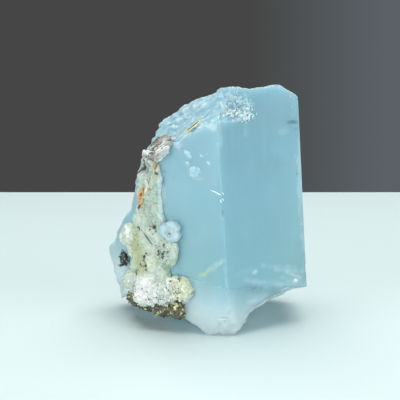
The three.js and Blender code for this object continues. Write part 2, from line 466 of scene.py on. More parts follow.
class Finish(Nodes):
    """A material's nodes, with short forms of the common ones."""

    def __init__(self, name):
        self.material = bpy.data.materials.new(name)
        super().__init__(self.material)
        here = self.node("ShaderNodeTexCoord", {}, {}, "Object")
        self.place = self.vector("SUBTRACT", self.vector("SCALE", here, scale=1 / MM), FOOT / MM)

    def vector(self, operation, first, second=(0, 0, 0), scale=1.0):
        output = "Value" if operation in ("LENGTH", "DOT_PRODUCT") else "Vector"
        inputs = {0: first, 1: second, 3: scale}
        return self.node("ShaderNodeVectorMath", {"operation": operation}, inputs, output)

    def mark(self, name):
        return self.node("ShaderNodeAttribute", {"attribute_name": name}, {}, "Fac")

    def noise(self, wave, detail=3, rough=0.55, place=None, shift=0.0, output="Fac"):
        """Noise from 0 to 1 with humps about one wave apart."""
        at = place or self.place
        if shift:
            at = self.vector("ADD", at, (shift, 1.7 * shift, -shift))
        inputs = {"Vector": at, "Scale": 1 / wave, "Detail": detail, "Roughness": rough}
        return self.node("ShaderNodeTexNoise", {}, inputs, output)

    def cells(self, size, feature="F1"):
        inputs = {"Vector": self.place, "Scale": 1 / size}
        return self.node("ShaderNodeTexVoronoi", {"feature": feature}, inputs, "Distance")

    def warped(self, wave, amount):
        """The place shifted by up to about the amount, in waves."""
        shift = self.noise(wave, 2, 0.5, output="Color")
        centred = self.vector("SUBTRACT", shift, (0.5, 0.5, 0.5))
        return self.vector("ADD", self.place, self.vector("SCALE", centred, scale=2 * amount))

    def spot(self, centre, radii, edge=0.35, place=None):
        """1 inside an ellipsoid and 0 outside it."""
        offset = self.vector("SUBTRACT", place or self.place, centre)
        return self.vector("LENGTH", self.vector("DIVIDE", offset, radii)).band(1 + edge, 1 - edge)

    def laid(self, colour, layers):
        """Spots laid over a colour in turn: their colour, how much of it, the place that shapes them, and the
        centre, radii and edge of each ellipsoid."""
        for other, much, place, *lumps in layers:
            spots = [self.spot(*lump, place=place) for lump in lumps]
            colour = self.mix(colour, other, functools.reduce(Wire.most, spots) * much)
        return colour

    def ramp(self, value, stops):
        return self.node("ShaderNodeValToRGB", {"stops": stops}, {"Fac": value}, "Color")

    def bump(self, height, depth, strength):
        """A relief of that depth in millimetres."""
        inputs = {"Height": height, "Distance": depth * MM, "Strength": strength}
        return self.node("ShaderNodeBump", {}, inputs, "Normal")

    def surface(self, inputs, volume=None):
        """Ends the tree in one Principled shader."""
        ends = {"Surface": self.node("ShaderNodeBsdfPrincipled", {}, inputs)}
        if volume:
            inputs = {"Color": (*volume[0], 1), "Density": volume[1]}
            ends["Volume"] = self.node("ShaderNodeVolumeAbsorption", {}, inputs)
        self.node("ShaderNodeOutputMaterial", {}, ends)
        return self.material


# ---------------------------------------------------------------- the prism

RIDGE_ALONG = np.array([0.764, -0.218, 0.607])  # the way the shoulder's ledges run
RIDGE_ACROSS = np.array([-0.156, 0.851, 0.502])
SCOOP = [3.1, 2.5, 34.9]  # the middle of the grainy break under the crown
PRISM_VOXEL = 0.2
EDGE_REACH = 0.13  # points of the flat faces this near an edge are moved onto it
UNFROSTED = 0.35  # frost under which a point belongs to a flat face
BERYL_IOR = 1.575


SAME_WAY = 0.9998  # least cosine between the normals of triangles in one face
SAME_DEPTH = 0.05  # most difference between their offsets
SMALL_TRIANGLE, SMALL_FACE = 0.5, 25  # areas under which they don't count as a grown face


def flat_faces(points, triangles):
    """The prism's own faces as (normal, offset), and for each triangle whether it lies in one."""
    a, b, c = (points[triangles[:, k]] for k in range(3))
    cross = np.cross(b - a, c - a)
    area = np.linalg.norm(cross, axis=1) / 2
    normal = cross / np.maximum(2 * area, 1e-12)[:, None]
    offset = (normal * a).sum(1)
    inside = np.zeros(len(triangles), bool)
    tried = np.zeros(len(triangles), bool)
    planes = []
    while not tried.all():
        biggest = np.argmax(np.where(tried, 0, area))
        if area[biggest] < SMALL_TRIANGLE:
            break
        same = (normal @ normal[biggest] > SAME_WAY) & (abs(offset - offset[biggest]) < SAME_DEPTH)
        tried |= same
        if area[same].sum() > SMALL_FACE:
            inside |= same
            planes.append((normal[biggest], offset[biggest]))
    return planes, inside


def prism_relief(p, frost):
    """How far the prism's broken surfaces stand out, and the painted highlight on the crests of their ledges
    and on their broken grains.
    """
    ragged = shifted(p, 1.6, 0.7, 301)
    shoulder = near_to(ragged, [-5, 5.5, 32.3], [11, 9, 7.5])
    scoop = near_to(ragged, SCOOP, [4.4, 3.4, 2.7])
    crown = soft(p[:, 2], 35.8, 37.5) * (1 - scoop)
    foot = 1 - soft(p[:, 2], 3.5, 7.5)
    way = p @ RIDGE_ACROSS + 0.9 * roughness(p, 3.0, 3, 21) + 0.10 * (p @ RIDGE_ALONG)
    ledges, narrow, folds, curls = (
        stepped(rows, rise) - rows
        for rows, rise in (
            (way / 1.25, 0.3),
            (way / 0.43 + 0.7, 0.45),
            (2.1 * roughness(p, 6.5, 2, 31), 0.4),
            (2.4 * roughness(p * [0.8, 0.8, 1.2], 2.3, 3, 33), 0.45),
        )
    )
    sugar = faceted(p, 0.55, 41)
    fine = roughness(p, 0.8, 3, 51)
    high = 0.24 * roughness(p, 5.0, 3, 11) + 0.16 * folds + 0.045 * fine
    high += shoulder * (0.38 * (ledges + 0.5) + 0.16 * narrow + 0.13 * fine)
    high += scoop * (0.25 + 0.34 * sugar + 0.26 * curls)
    high += crown * (0.05 * sugar + 0.05 * curls)
    high += foot * (0.16 * fine + 0.15 * sugar)
    # Painted highlight: the crests of the shoulder's ledges, and the grains of the crown, the scoop and the
    # foot, are lighter where light would catch them.
    crest = shoulder * soft(ledges + 0.6 * narrow + 0.5 * fine + 0.5, -0.12, 0.3)
    crest = crest * (0.15 + 0.85 * soft(roughness(p, 1.7, 3, 391), -0.15, 0.4))
    for where, grain, low, top in (
        (0.8 * crown, curls + 0.5 * fine + 0.3, 0.0, 0.4),
        (scoop, sugar + 0.6 * (curls + 0.35), 0.0, 0.5),
        (foot, sugar + 0.6 * fine, -0.1, 0.5),
    ):
        crest = np.maximum(crest, where * soft(grain, low, top))
    return frost * (high - 0.05), frost * crest


BRUISES = (  # light places on the prism's faces: centre, radii and how light
    ([-4.8, 2.3, 28.2], [0.9, 0.9, 0.7], 0.35),
    ([-4.9, 2.4, 26.8], [0.6, 0.6, 0.7], 0.35),
    ([-3.8, 1.9, 25.5], [1.5, 1.2, 1.1], 0.45),
    ([-3.6, 1.8, 24.6], [1.5, 1.0, 0.3], 0.4),
    ([-2.8, 1.3, 28.1], [0.35, 0.4, 0.3], 0.5),
    ([-2.1, 0.9, 28.6], [0.3, 0.3, 0.3], 0.5),
    ([-1.8, 0.8, 27.1], [0.4, 0.4, 0.4], 0.7),
    ([-7.0, 3.4, 30.6], [1.3, 1.2, 0.9], 0.7),
    ([-6.2, 3.0, 29.4], [1.2, 1.0, 0.7], 0.6),
    ([-1.0, 0.6, 32.6], [1.2, 0.8, 0.8], 0.5),
    ([4.5, 3.5, 35.6], [1.0, 1.0, 0.8], 0.5),
    ([9.7, 6.8, 31.2], [1.3, 1.2, 0.9], 0.2),
    ([12.0, 7.3, 7.4], [0.9, 1.0, 0.6], 1.0),
    ([5.3, 2.9, 9.8], [0.7, 0.8, 0.5], 0.5),
    ([10.5, 6.3, 6.0], [1.6, 1.4, 0.4], 0.8),
    ([5.4, 2.8, 4.9], [1.4, 1.2, 0.6], 0.6),
    ([0.1, 0.1, 21.4], [0.2, 0.3, 0.35], 0.7),
    ([-9.0, 4.3, 21.0], [0.8, 1.0, 3.6], 0.4),
    ([12.5, 8.6, 24.0], [0.7, 0.9, 14.0], 0.3),
    ([13.2, 8.8, 12.0], [0.7, 0.9, 8.0], 0.3),
)
SMUDGES = (  # dark places under the right face, near its back edge: centre, radii and how dark
    ([11.2, 7.7, 31.8], [1.9, 1.6, 1.3], 0.8),
    ([11.9, 8.2, 30.6], [0.6, 0.7, 0.5], 0.5),
    ([12.1, 8.1, 26.7], [0.7, 0.7, 0.3], 0.6),
    ([12.1, 8.1, 24.3], [0.6, 0.7, 0.5], 0.5),
    ([12.2, 8.1, 23.3], [0.7, 0.7, 0.3], 0.6),
    ([-0.9, 4.9, 36.6], [0.35, 0.5, 0.3], 0.9),
    ([-7.3, 3.2, 24.6], [0.4, 0.5, 0.5], 0.3),
)
VEILS = (  # light lines where cracks meet the prism's faces: start, end, width and how light
    ([6.6, 3.8, 10.6], [12.0, 7.4, 9.5], 0.3, 0.35),
    ([8.6, 5.1, 9.8], [13.3, 8.2, 8.6], 0.3, 0.5),
    ([9.8, 5.8, 8.3], [11.9, 7.1, 7.0], 0.3, 0.5),
    ([10.6, 6.3, 8.9], [12.9, 7.8, 7.6], 0.3, 0.8),
    ([4.1, 2.0, 8.7], [7.7, 4.4, 7.5], 0.4, 0.4),
    ([7.7, 4.4, 7.5], [13.9, 8.4, 6.5], 0.4, 0.3),
    ([2.2, 0.9, 9.8], [5.3, 2.9, 10.2], 0.35, 0.25),
    ([-0.2, 0.1, 33.0], [0.2, 0.1, 29.8], 0.3, 0.6),
    ([0.8, 0.1, 11.2], [1.0, 0.0, 8.1], 0.2, 0.5),
    ([3.9, 2.9, 32.6], [3.9, 2.8, 31.0], 0.3, 0.3),
    ([-6.4, 3.1, 29.4], [-4.7, 2.3, 25.4], 0.22, 0.35),
    ([-0.2, 2.2, 33.2], [-2.2, 2.0, 33.0], 0.3, 0.6),
)
SMEAR = ([-3.1, 1.9, 9.4], [0.3, 0.3, 12.2])  # a thin stained crack beside the front edge


def face_marks(p):
    """How light, how dark and how stained the prism's faces are."""
    light = strongest(shifted(p, 1.1, 0.32, 311), BRUISES)
    loose = shifted(p, 0.9, 0.16, 321)
    broken = 0.45 + 0.55 * soft(roughness(p, 0.9, 2, 331), -0.5, 0.4)
    for start, end, wide, much in VEILS:
        on_veil = 1 - soft(from_line(loose, start, end), 0.2 * wide, 2 * wide)
        light = np.maximum(light, 0.6 * much * broken * on_veil)
    streaky = soft(roughness(p * [0.6, 0.6, 1.8], 0.9, 2, 361), -0.05, 0.4)
    dark = strongest(shifted(p, 0.9, 0.4, 371), SMUDGES) * streaky
    on_smear = 1 - soft(from_line(shifted(p, 0.8, 0.35, 341), *SMEAR), 0.1, 0.55)
    return {"light": light, "dark": dark, "smear": on_smear * broken}


def grow_prism_mesh():
    points, triangles = cad_surface("aquamarine_crystal")
    planes, grown = flat_faces(points, triangles)
    p, quads, edges = remeshed(points, triangles, PRISM_VOXEL)
    p, _, face = Skin(points, triangles).nearest(p)
    frost = blurred((~grown[face]).astype(float), edges, 2)
    gaps = np.stack([abs(p @ n - o) for n, o in planes], axis=1)
    nearest = np.argsort(gaps, axis=1)[:, :2]
    to_edge = gaps[np.arange(len(p)), nearest[:, 1]]
    for i in np.flatnonzero((to_edge < EDGE_REACH) & (frost < UNFROSTED)):
        normals, offsets = (np.array([planes[k][part] for k in nearest[i]]) for part in (0, 1))
        p[i] += np.linalg.lstsq(normals, offsets - [p[i] @ n for n in normals], rcond=None)[0]
    # The arris mark makes the worn places along the edges lighter: partly chipped wear, partly a painted
    # highlight along the edges.
    arris = (1 - soft(to_edge, 0.05, 0.45)) * (1 - frost)
    wear = arris * soft(roughness(p, 1.5, 3, 61), 0.34, 0.8)
    stripes = roughness(p * [1, 1, 0.03], 0.7, 2, 71)
    inner = soft(blurred(frost, edges, 14), 0.45, 0.95)
    relief, crest = prism_relief(p, frost * np.maximum(inner, soft(p[:, 2], 11.0, 15.0)))
    marks = {"frost": frost, "arris": arris * wear * 0.2, "crest": crest, **face_marks(p)}
    light = marks["light"]
    high = relief - 0.16 * wear + (1 - frost) * (0.012 * stripes - 0.06 * light * soft(light, 0.3, 0.6))
    # Below a line from the foot to the lower right corner the right face is broken inwards.
    under = soft(8.6 - 0.235 * (p[:, 0] - 4.1) - p[:, 2], 0.0, 2.4) * soft(p[:, 0], 2.0, 5.5)
    under *= p[:, 1] < 9.5
    high -= under * 0.9 * (1 - frost)
    marks["frost"] = np.maximum(frost, soft(under, 0.1, 0.5))
    p = p + point_normals(p, quads) * high[:, None]
    p[:, 2] = np.maximum(p[:, 2], 0)
    return p, quads, marks


def beryl_finish(settings):
    f = Finish("beryl")
    frost, smear = f.mark("frost"), f.mark("smear")
    clouds = f.noise(7.0, 2, 0.5)
    wisps = f.noise(1.0, 4, 0.6, place=f.vector("DIVIDE", f.place, (1.6, 1.6, 5.0)))
    grain = f.noise(0.35, 3, 0.6)
    ways = (1, 0, 0), (0, 0, 1), (0.16, 0, 1)
    across, height, slanted = (f.vector("DOT_PRODUCT", f.place, way) for way in ways)
    # The foot is whiter towards the bottom: partly a frosted break, partly painted light thrown up from the
    # floor.
    foot = (slanted + 3.0 * (clouds - 0.5) + 1.5 * (wisps - 0.5)).band(9.3, 2.0)
    frost = (frost * height.band(7.0, 12.0)).most(foot)
    # Painted shade: right of the front edge the depth colour is laid on, so the right face is darker than the
    # left.
    deep = f.spot((3.6, 2.0, 18.0), (7.0, 7.0, 24.0), edge=0.6)
    lobe = f.spot((-17.4, 16.0, 4.0), (5.0, 7.0, 7.0), edge=0.5)
    colour = f.mix(settings.low, settings.colour, height.band(8.0, 32.0))
    for other, amount in (
        (settings.light, clouds.band(0.35, 0.7) * 0.45),
        (settings.light, wisps.band(0.55, 0.8) * 0.25),
        # Painted shade on the right face.
        (settings.deep, deep * across.band(-0.8, 0.8) * 0.6),
        (settings.light, frost * (0.3 + 0.5 * grain)),
        (settings.frost, foot * (0.7 + 0.3 * grain)),
        ((0.72, 0.86, 0.84), lobe * frost * 0.6),
        # Painted highlight on the crests and grains of the broken surfaces.
        (settings.frost, f.mark("crest") * (0.4 + grain)),
        # The light places, and along the edges the arris mark, which is partly chipped wear and partly a
        # painted highlight.
        (settings.frost, f.mark("light").most(f.mark("arris"))),
        ((0.62, 0.74, 0.46), smear * height.band(12.0, 10.0) * 0.8),
        (settings.frost, smear * height.band(10.0, 12.0) * 0.5),
        ((0.16, 0.30, 0.33), f.mark("dark") * (0.4 + f.noise(0.5, 3))),
    ):
        colour = f.mix(colour, other, amount)
    relief = grain * frost * 0.6 + f.noise(0.12, 2) * frost * 0.3
    return f.surface(
        {
            "Base Color": colour,
            "Roughness": 0.2 + 0.22 * frost + 0.12 * foot + 0.08 * clouds,
            "IOR": BERYL_IOR,
            "Transmission Weight": settings.clear,
            "Subsurface Weight": 1.0,
            "Subsurface Radius": (1.0, 1.0, 1.0),
            "Subsurface Scale": 3.0 * MM,
            "Normal": f.bump(relief, 0.05, 0.6),
        },
        volume=(settings.depth_colour, settings.depth_density),
    )


NICKS = (  # small flakes that stand off the faces: start, end and width
    ([-1.55, 0.85, 22.95], [-0.7, 0.42, 22.75], 0.15),
    ([-0.9, 0.5, 22.85], [0.15, 0.0, 22.25], 0.19),
    ([0.0, 0.1, 23.15], [0.55, 0.2, 22.4], 0.15),
    ([-0.2, 0.15, 22.55], [0.5, 0.2, 22.35], 0.13),
    ([0.05, 0.05, 21.6], [0.2, 0.1, 21.2], 0.18),
    ([0.35, 0.15, 21.8], [0.5, 0.25, 21.4], 0.14),
    ([-0.35, 2.1, 33.4], [-1.2, 1.9, 33.1], 0.2),
    ([-4.2, 2.0, 25.1], [-3.2, 1.6, 25.0], 0.16),
    ([11.9, 7.2, 7.6], [12.4, 7.5, 7.2], 0.3),
    ([2.2, 0.9, 2.9], [0.0, 0.9, 2.8], 0.12),
)
PATCHES = (  # thin scales on the left face, paler than the beryl: start, end and width
    ([-4.45, 2.2, 26.1], [-3.2, 1.6, 25.2], 1.35),
    ([-3.9, 1.9, 26.0], [-2.9, 1.5, 25.5], 1.1),
    ([-4.5, 2.2, 25.3], [-3.6, 1.8, 24.9], 0.8),
    ([-5.3, 2.55, 28.6], [-4.5, 2.15, 28.15], 0.7),
    ([-4.9, 2.4, 28.1], [-4.3, 2.1, 27.7], 0.5),
    ([-5.1, 2.45, 27.0], [-4.7, 2.25, 26.7], 0.4),
    ([-7.9, 3.8, 30.2], [-6.4, 3.1, 31.4], 0.7),
    ([-6.9, 3.3, 29.6], [-6.0, 2.9, 29.8], 0.5),
    ([-2.05, 1.0, 27.25], [-1.5, 0.75, 26.9], 0.3),
    ([-3.0, 1.4, 28.25], [-2.65, 1.3, 27.9], 0.24),
)
SPARKLES = (  # where broken grains catch the light, as near-white flakes with their glints painted into the colour: middle, spread, how many, and their width
    ([1.4, 2.3, 34.6], [0.5, 0.6, 0.35], 26, 0.26),
    ([1.3, 2.2, 34.3], [0.9, 0.6, 0.45], 60, 0.32),
    ([2.2, 2.6, 34.2], [1.2, 0.8, 0.5], 110, 0.34),
    ([3.9, 2.9, 33.9], [1.0, 0.7, 0.6], 90, 0.32),
    ([4.2, 3.0, 34.9], [1.3, 0.9, 0.8], 50, 0.22),
    ([2.2, 3.1, 36.6], [0.6, 0.5, 0.3], 26, 0.24),
    ([3.3, 3.3, 36.0], [0.7, 0.6, 0.8], 36, 0.22),
    ([-4.5, 4.5, 33.9], [2.6, 2.2, 0.9], 60, 0.22),
    ([-7.5, 6.0, 32.6], [2.0, 2.2, 1.2], 40, 0.2),
    ([0.4, 1.2, 1.8], [0.9, 0.3, 0.5], 40, 0.2),
    ([-7.5, 3.5, 30.7], [0.6, 0.4, 0.45], 30, 0.3),
)


def grow_nicks_mesh(skin):
    """Small white flakes and grains on the prism, half sunk in it."""
    draw = np.random.default_rng(37)
    shapes = chip_shapes(draw, corners=8)
    made = []
    for start, end, width in (*PATCHES, *NICKS):
        places, normals, _ = skin.nearest(np.array([start, end]))
        way, ragged = places[1] - places[0], 0.2 if len(made) < len(PATCHES) else 0.4
        long = np.linalg.norm(way) + 0.1
        out = normals.mean(0)
        made.append(leaf(places.mean(0), way, out, long, width, 0.1, draw, ragged, 0.02, corners=16))
    for *where, width in SPARKLES:
        for place, normal in on_skin(skin, *where, draw):
            size = width * draw.uniform(0.5, 1.3) * draw.uniform([1.4, 0.5, 0.4], [3.0, 0.9, 0.8])
            shape = shapes[draw.integers(len(shapes))]
            made.append(shard(shape, place, RIDGE_ALONG + draw.normal(size=3) * 0.7, normal, size))
    tones = [0.0] * len(PATCHES) + [0.65] * len(NICKS)
    return toned(made, tones + [1.0] * (len(made) - len(tones)))


def nick_finish(settings):
    f = Finish("beryl nicks")
    pale = f.noise(0.4, 2).band(0.35, 0.6)
    # Tone 1, the sparkles, comes out near white: frosted grains, with painted glints.
    light = (f.mark("tone") + 0.12) * (0.6 + 0.4 * pale)
    return f.surface(
        {
            "Base Color": f.mix(settings.deep, (0.86, 1.0, 1.0), light),
            "Roughness": 0.15 + 0.15 * pale,
            "IOR": BERYL_IOR,
            "Subsurface Weight": 0.5,
            "Subsurface Radius": (0.8, 0.95, 1.0),
            "Subsurface Scale": 0.3 * MM,
        }
    )


SHEETS = (  # healed cracks sealed in the prism: centre, along, out, length and width
    ([9.5, 10.0, 9.5], [1.0, 0.5, -0.2], [0.1, -0.35, 1.0], 6.0, 4.0),
    ([6.0, 9.5, 13.0], [1.0, 0.6, -0.2], [-0.2, -0.5, 1.0], 7.0, 5.0),
    ([-3.6, 5.4, 26.0], [0.6, -0.2, -1.0], [-0.6, -0.8, 0.2], 5.0, 2.4),
    ([3.0, 9.0, 27.0], [0.5, 0.3, 1.0], [-0.3, -1.0, 0.3], 12.0, 8.0),
    ([-6.0, 10.0, 14.0], [0.3, 0.2, 1.0], [-0.8, -1.0, 0.1], 12.0, 7.0),
    ([7.0, 12.0, 20.0], [0.2, 0.1, 1.0], [0.4, -1.0, 0.2], 14.0, 7.0),
)


def grow_sheets_mesh():
    draw = np.random.default_rng(41)
    return *joined([leaf(*sheet, 0.08, draw, 0.35, 0.8, 36, 6) for sheet in SHEETS]), {}


def sheet_finish(settings):
    """Veils of tiny bubbles, which are open between their wisps."""
    f = Finish("healed cracks")
    wisps = f.noise(2.2, 4, 0.65, place=f.warped(2.5, 0.8))
    dots = f.cells(0.35).band(0.30, 0.15)
    colour = f.mix(settings.light, settings.frost, wisps.band(0.4, 0.7))
    alpha = wisps.band(0.46, 0.7) * (0.25 + 0.5 * dots)
    return f.surface({"Base Color": colour, "Roughness": 0.4 + 0.2 * wisps, "Alpha": alpha, "IOR": 1.3})


# ---------------------------------------------------------------- the crust

PRISM_SKIN = Skin(*cad_surface("aquamarine_crystal"))
FLANK_OUT = np.array([-0.8, -0.6, -0.04])  # the way the broken flank faces
TIP = (-5.9, 2.4, 7.6)  # the middle of the crust's lower right tip
CRUST_VOXEL = 0.12
FELDSPAR = {"IOR": 1.53, "Subsurface Radius": (1.0, 0.95, 0.8)}
SUGARY = (  # where the feldspar is a mass of small grains: centre, radii and how much
    ([-11.0, 7.2, 6.4], [4.4, 5.4, 2.8], 1),
    ([-6.6, 3.0, 7.4], [3.4, 3.4, 2.6], 1),
    ([-11.3, 5.6, 26.6], [2.2, 2.6, 2.4], 1),
    ([-14.8, 11.4, 13.8], [1.6, 2.6, 2.6], 1),
)
CRUST_FILL = (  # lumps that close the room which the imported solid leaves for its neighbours: centre and radii
    ([-11.3, 7.0, 21.2], [1.0, 1.3, 2.4]),
    ([-9.9, 5.3, 25.2], [0.9, 1.1, 1.9]),
    ([-11.5, 6.9, 26.4], [0.7, 0.9, 1.0]),
    ([-10.4, 6.6, 4.9], [3.0, 3.2, 1.2]),
    ([-10.7, 5.5, 10.6], [0.9, 0.9, 1.4]),
)
GRAINS = (  # where grains stand out of the crust: middle, spread, how many, and their width
    ([-12.2, 8.0, 6.2], [2.4, 3.0, 1.7], 200, 0.42),
    ([-9.4, 4.6, 6.4], [2.6, 2.8, 1.7], 200, 0.42),
    ([-6.8, 2.6, 7.2], [2.0, 2.0, 1.6], 160, 0.42),
    ([-15.1, 11.5, 13.9], [0.6, 1.2, 2.4], 60, 0.26),
    ([-11.3, 5.5, 26.9], [1.0, 1.1, 1.0], 60, 0.3),
    ([-8.6, 3.8, 22.0], [0.3, 0.4, 3.4], 34, 0.26),
    ([-12.6, 8.6, 4.6], [2.2, 2.6, 0.9], 150, 0.5),
    ([-8.6, 4.6, 4.6], [2.6, 2.6, 0.9], 170, 0.5),
    ([-9.3, 3.8, 12.6], [2.2, 2.0, 2.2], 50, 0.34),
    ([-11.5, 6.5, 16.5], [2.4, 2.4, 1.8], 60, 0.34),
)


def into_beryl(points, reach, sink):
    """Points sunk into the prism where they come within reach of it, and how free of it each one is."""
    places, normals, _ = PRISM_SKIN.nearest(points)
    gap = ((points - places) * normals).sum(1)
    amount = sink * (1 - soft(gap, 0.35, reach))
    return points - normals * amount[:, None], soft(gap, 0.3, reach)


def filled(node, voxel, closing, lumps):
    """A CAD node and some lumps as an even skin, with the grooves narrower than the closing filled."""
    p, quads, _ = remeshed(*joined([cad_surface(node), *(ball(*lump) for lump in lumps)]), voxel)
    p = p + point_normals(p, quads) * closing
    p, quads, edges = remeshed(p, quads, voxel)
    p = relaxed(p, edges, 2)
    return p - point_normals(p, quads) * closing * 0.85, quads, edges


def grow_crust_mesh():
    p, quads, _ = filled("feldspar_crust", CRUST_VOXEL, 0.45, CRUST_FILL)
    p = shifted(shifted(p, 2.0, 0.34, 401), 0.8, 0.16, 411)
    p, free = into_beryl(p, 0.85, 0.62)
    sugar = strongest(p, SUGARY)
    lumps = faceted(shifted(p, 1.2, 0.4, 351), 2.3, 101)
    coarse, small = faceted(p, 0.95, 111), faceted(p, 0.42, 121)
    high = 0.22 * roughness(p, 2.6, 3, 131) + 0.26 * lumps
    high += sugar * (0.26 * coarse + 0.16 * small) + (1 - sugar) * (0.15 * coarse + 0.11 * small)
    marks = {"sugar": sugar, "grain": grains(p, 0.42, 121)[3]}
    return p + point_normals(p, quads) * ((0.15 + 0.85 * free) * high)[:, None], quads, marks


def grow_grains_mesh(skin):
    """Grains of feldspar and quartz that stand out of the crust."""
    draw = np.random.default_rng(31)
    shapes = chip_shapes(draw, corners=9)
    made, tones = [], []
    for *where, width in GRAINS:
        for place, normal in on_skin(skin, *where, draw):
            size = width * draw.uniform(0.4, 1.3) * draw.uniform(0.7, 1.25, 3)
            out = normal + draw.normal(size=3) * 0.5
            shape = shapes[draw.integers(len(shapes))]
            made.append(shard(shape, place, draw.normal(size=3), out, size))
            tones.append(draw.uniform(0.25, 1) if where[0][2] < 7 else draw.uniform(0, 0.9))
    return toned(made, tones)


def feldspar_finish(settings):
    f = Finish("feldspar")
    sugar, grain = f.mark("sugar"), f.mark("grain")
    loose = f.warped(1.6, 0.55)
    patches = f.noise(2.4, 4, 0.6)
    colour = f.mix(settings.pale, settings.white, patches.band(0.42, 0.62) * (0.3 + 0.7 * sugar))
    colour = f.mix(colour, (0.42, 0.50, 0.42), f.noise(0.7, 4, 0.7, shift=17.0).band(0.5, 0.72) * 0.5)
    colour = f.laid(
        colour,
        (
            (settings.green, 0.75, loose,
             ((-10.4, 5.2, 21.5), (2.6, 3.0, 4.6)), ((-9.6, 4.4, 17.8), (3.0, 3.2, 1.6))),
            (settings.green, 0.6, loose, ((-8.4, 3.4, 12.0), (2.0, 2.4, 2.8))),
            (settings.yellow, 0.85, loose,
             ((-13.2, 9.2, 12.8), (1.5, 2.0, 2.4), 0.8), ((-12.7, 8.6, 9.9), (1.6, 2.0, 2.4), 0.8)),
            ((0.62, 0.64, 0.50), 0.8, loose, ((-10.7, 5.6, 10.6), (0.8, 1.2, 1.4))),
            (settings.tip, 0.85, loose, (TIP, (2.0, 2.2, 1.9))),
            (settings.lavender, 0.8, loose, ((-11.0, 7.0, 5.8), (3.5, 4.0, 2.2))),
            ((0.50, 0.68, 0.74), 0.35 + patches, f.place, ((-8.7, 3.9, 22.0), (0.8, 1.0, 4.6), 0.6)),
            ((0.19, 0.22, 0.20), 0.5 + 0.6 * f.noise(0.5, 3), loose, ((-11.4, 5.6, 26.4), (1.7, 2.0, 1.6))),
            ((0.36, 0.36, 0.2), f.noise(0.45, 3).band(0.45, 0.62) * 0.8, loose,
             ((-11.8, 7.3, 10.4), (0.75, 0.9, 0.9), 0.5)),
        ),
    )
    edges = f.cells(0.75, "DISTANCE_TO_EDGE").band(0.09, 0.0)
    for other, amount in (
        ((0.52, 0.50, 0.38), sugar * f.noise(0.5, 3, shift=31.0).band(0.56, 0.72) * 0.45),
        ((0.92, 0.95, 0.93), sugar * grain.band(0.5, 1.0) * 0.5),
        ((0.45, 0.45, 0.36), edges * sugar * 0.35),
    ):
        colour = f.mix(colour, other, amount)
    height = f.noise(0.16, 3, 0.6) * 0.6 + f.cells(0.35) * 0.5
    return f.surface(
        {
            **FELDSPAR,
            "Base Color": colour,
            "Roughness": 0.42 + 0.25 * patches - 0.15 * grain,
            "Subsurface Weight": 0.6,
            "Subsurface Scale": 0.8 * MM,
            "Normal": f.bump(height, 0.08, 0.7),
        }
    )


def grain_finish(settings):
    """The grains are white, cream or glassy, each in its own tone."""
    f = Finish("feldspar grains")
    tone = f.mark("tone")
    white = [(0.55, settings.white), (1.0, (0.92, 0.95, 0.96))]
    colour = f.laid(
        f.ramp(tone, [(0.0, settings.pale), (0.3, (0.62, 0.62, 0.48)), *white]),
        (
            (settings.tip, 0.6, f.place, (TIP, (2.2, 2.4, 2.1))),
            ((0.24, 0.27, 0.25), 0.5 + 0.4 * tone, f.place, ((-11.3, 5.5, 26.9), (1.9, 2.2, 1.6))),
            (settings.green, 0.45, f.place, ((-11.0, 6.0, 14.6), (4.0, 4.4, 4.2))),
        ),
    )
    return f.surface(
        {
            **FELDSPAR,
            "Base Color": colour,
            "Roughness": 0.25 + 0.3 * tone,
            "Subsurface Weight": 0.5,
            "Subsurface Scale": 0.4 * MM,
            "Normal": f.bump(f.noise(0.15, 3), 0.03, 0.5),
        }
    )


KNOB_LOBES = (  # centre and radii
    ([-6.9, 2.6, 16.8], [1.1, 0.95, 1.1]),
    ([-7.4, 2.9, 17.2], [1.15, 0.95, 0.95]),
    ([-6.8, 2.5, 15.4], [1.0, 0.95, 1.0]),
    ([-7.6, 2.9, 15.0], [1.15, 0.95, 0.9]),
    ([-8.5, 3.5, 16.2], [1.4, 1.2, 1.5]),
)


def grow_knob_mesh():
    p, quads, edges = filled("quartz_knob", 0.1, 0.2, KNOB_LOBES)
    high = 0.12 * roughness(p, 1.1, 3, 141) + 0.08 * faceted(p, 0.6, 151) - 0.32
    p = p + point_normals(p, quads) * high[:, None]
    return into_beryl(relaxed(p, edges, 1), 1.0, 0.6)[0], quads, {}


def quartz_finish(settings):
    f = Finish("milky quartz")
    clouds = f.noise(0.9, 3)
    middle = f.spot((-7.2, 2.4, 16.2), (1.9, 2.4, 2.0), edge=0.7)
    colour = f.mix((0.36, 0.58, 0.65), settings.quartz, middle)
    return f.surface(
        {
            "Base Color": f.mix(colour, settings.white, clouds.band(0.45, 0.75) * middle * 0.7),
            "Roughness": 0.22 + 0.2 * clouds,
            "IOR": 1.545,
            "Transmission Weight": 0.25,
            "Subsurface Weight": 1.0,
            "Subsurface Radius": (0.8, 0.95, 1.0),
            "Subsurface Scale": 1.5 * MM,
            "Normal": f.bump(f.noise(0.2, 3), 0.04, 0.5),
        }
    )


# ---------------------------------------------------------------- mica

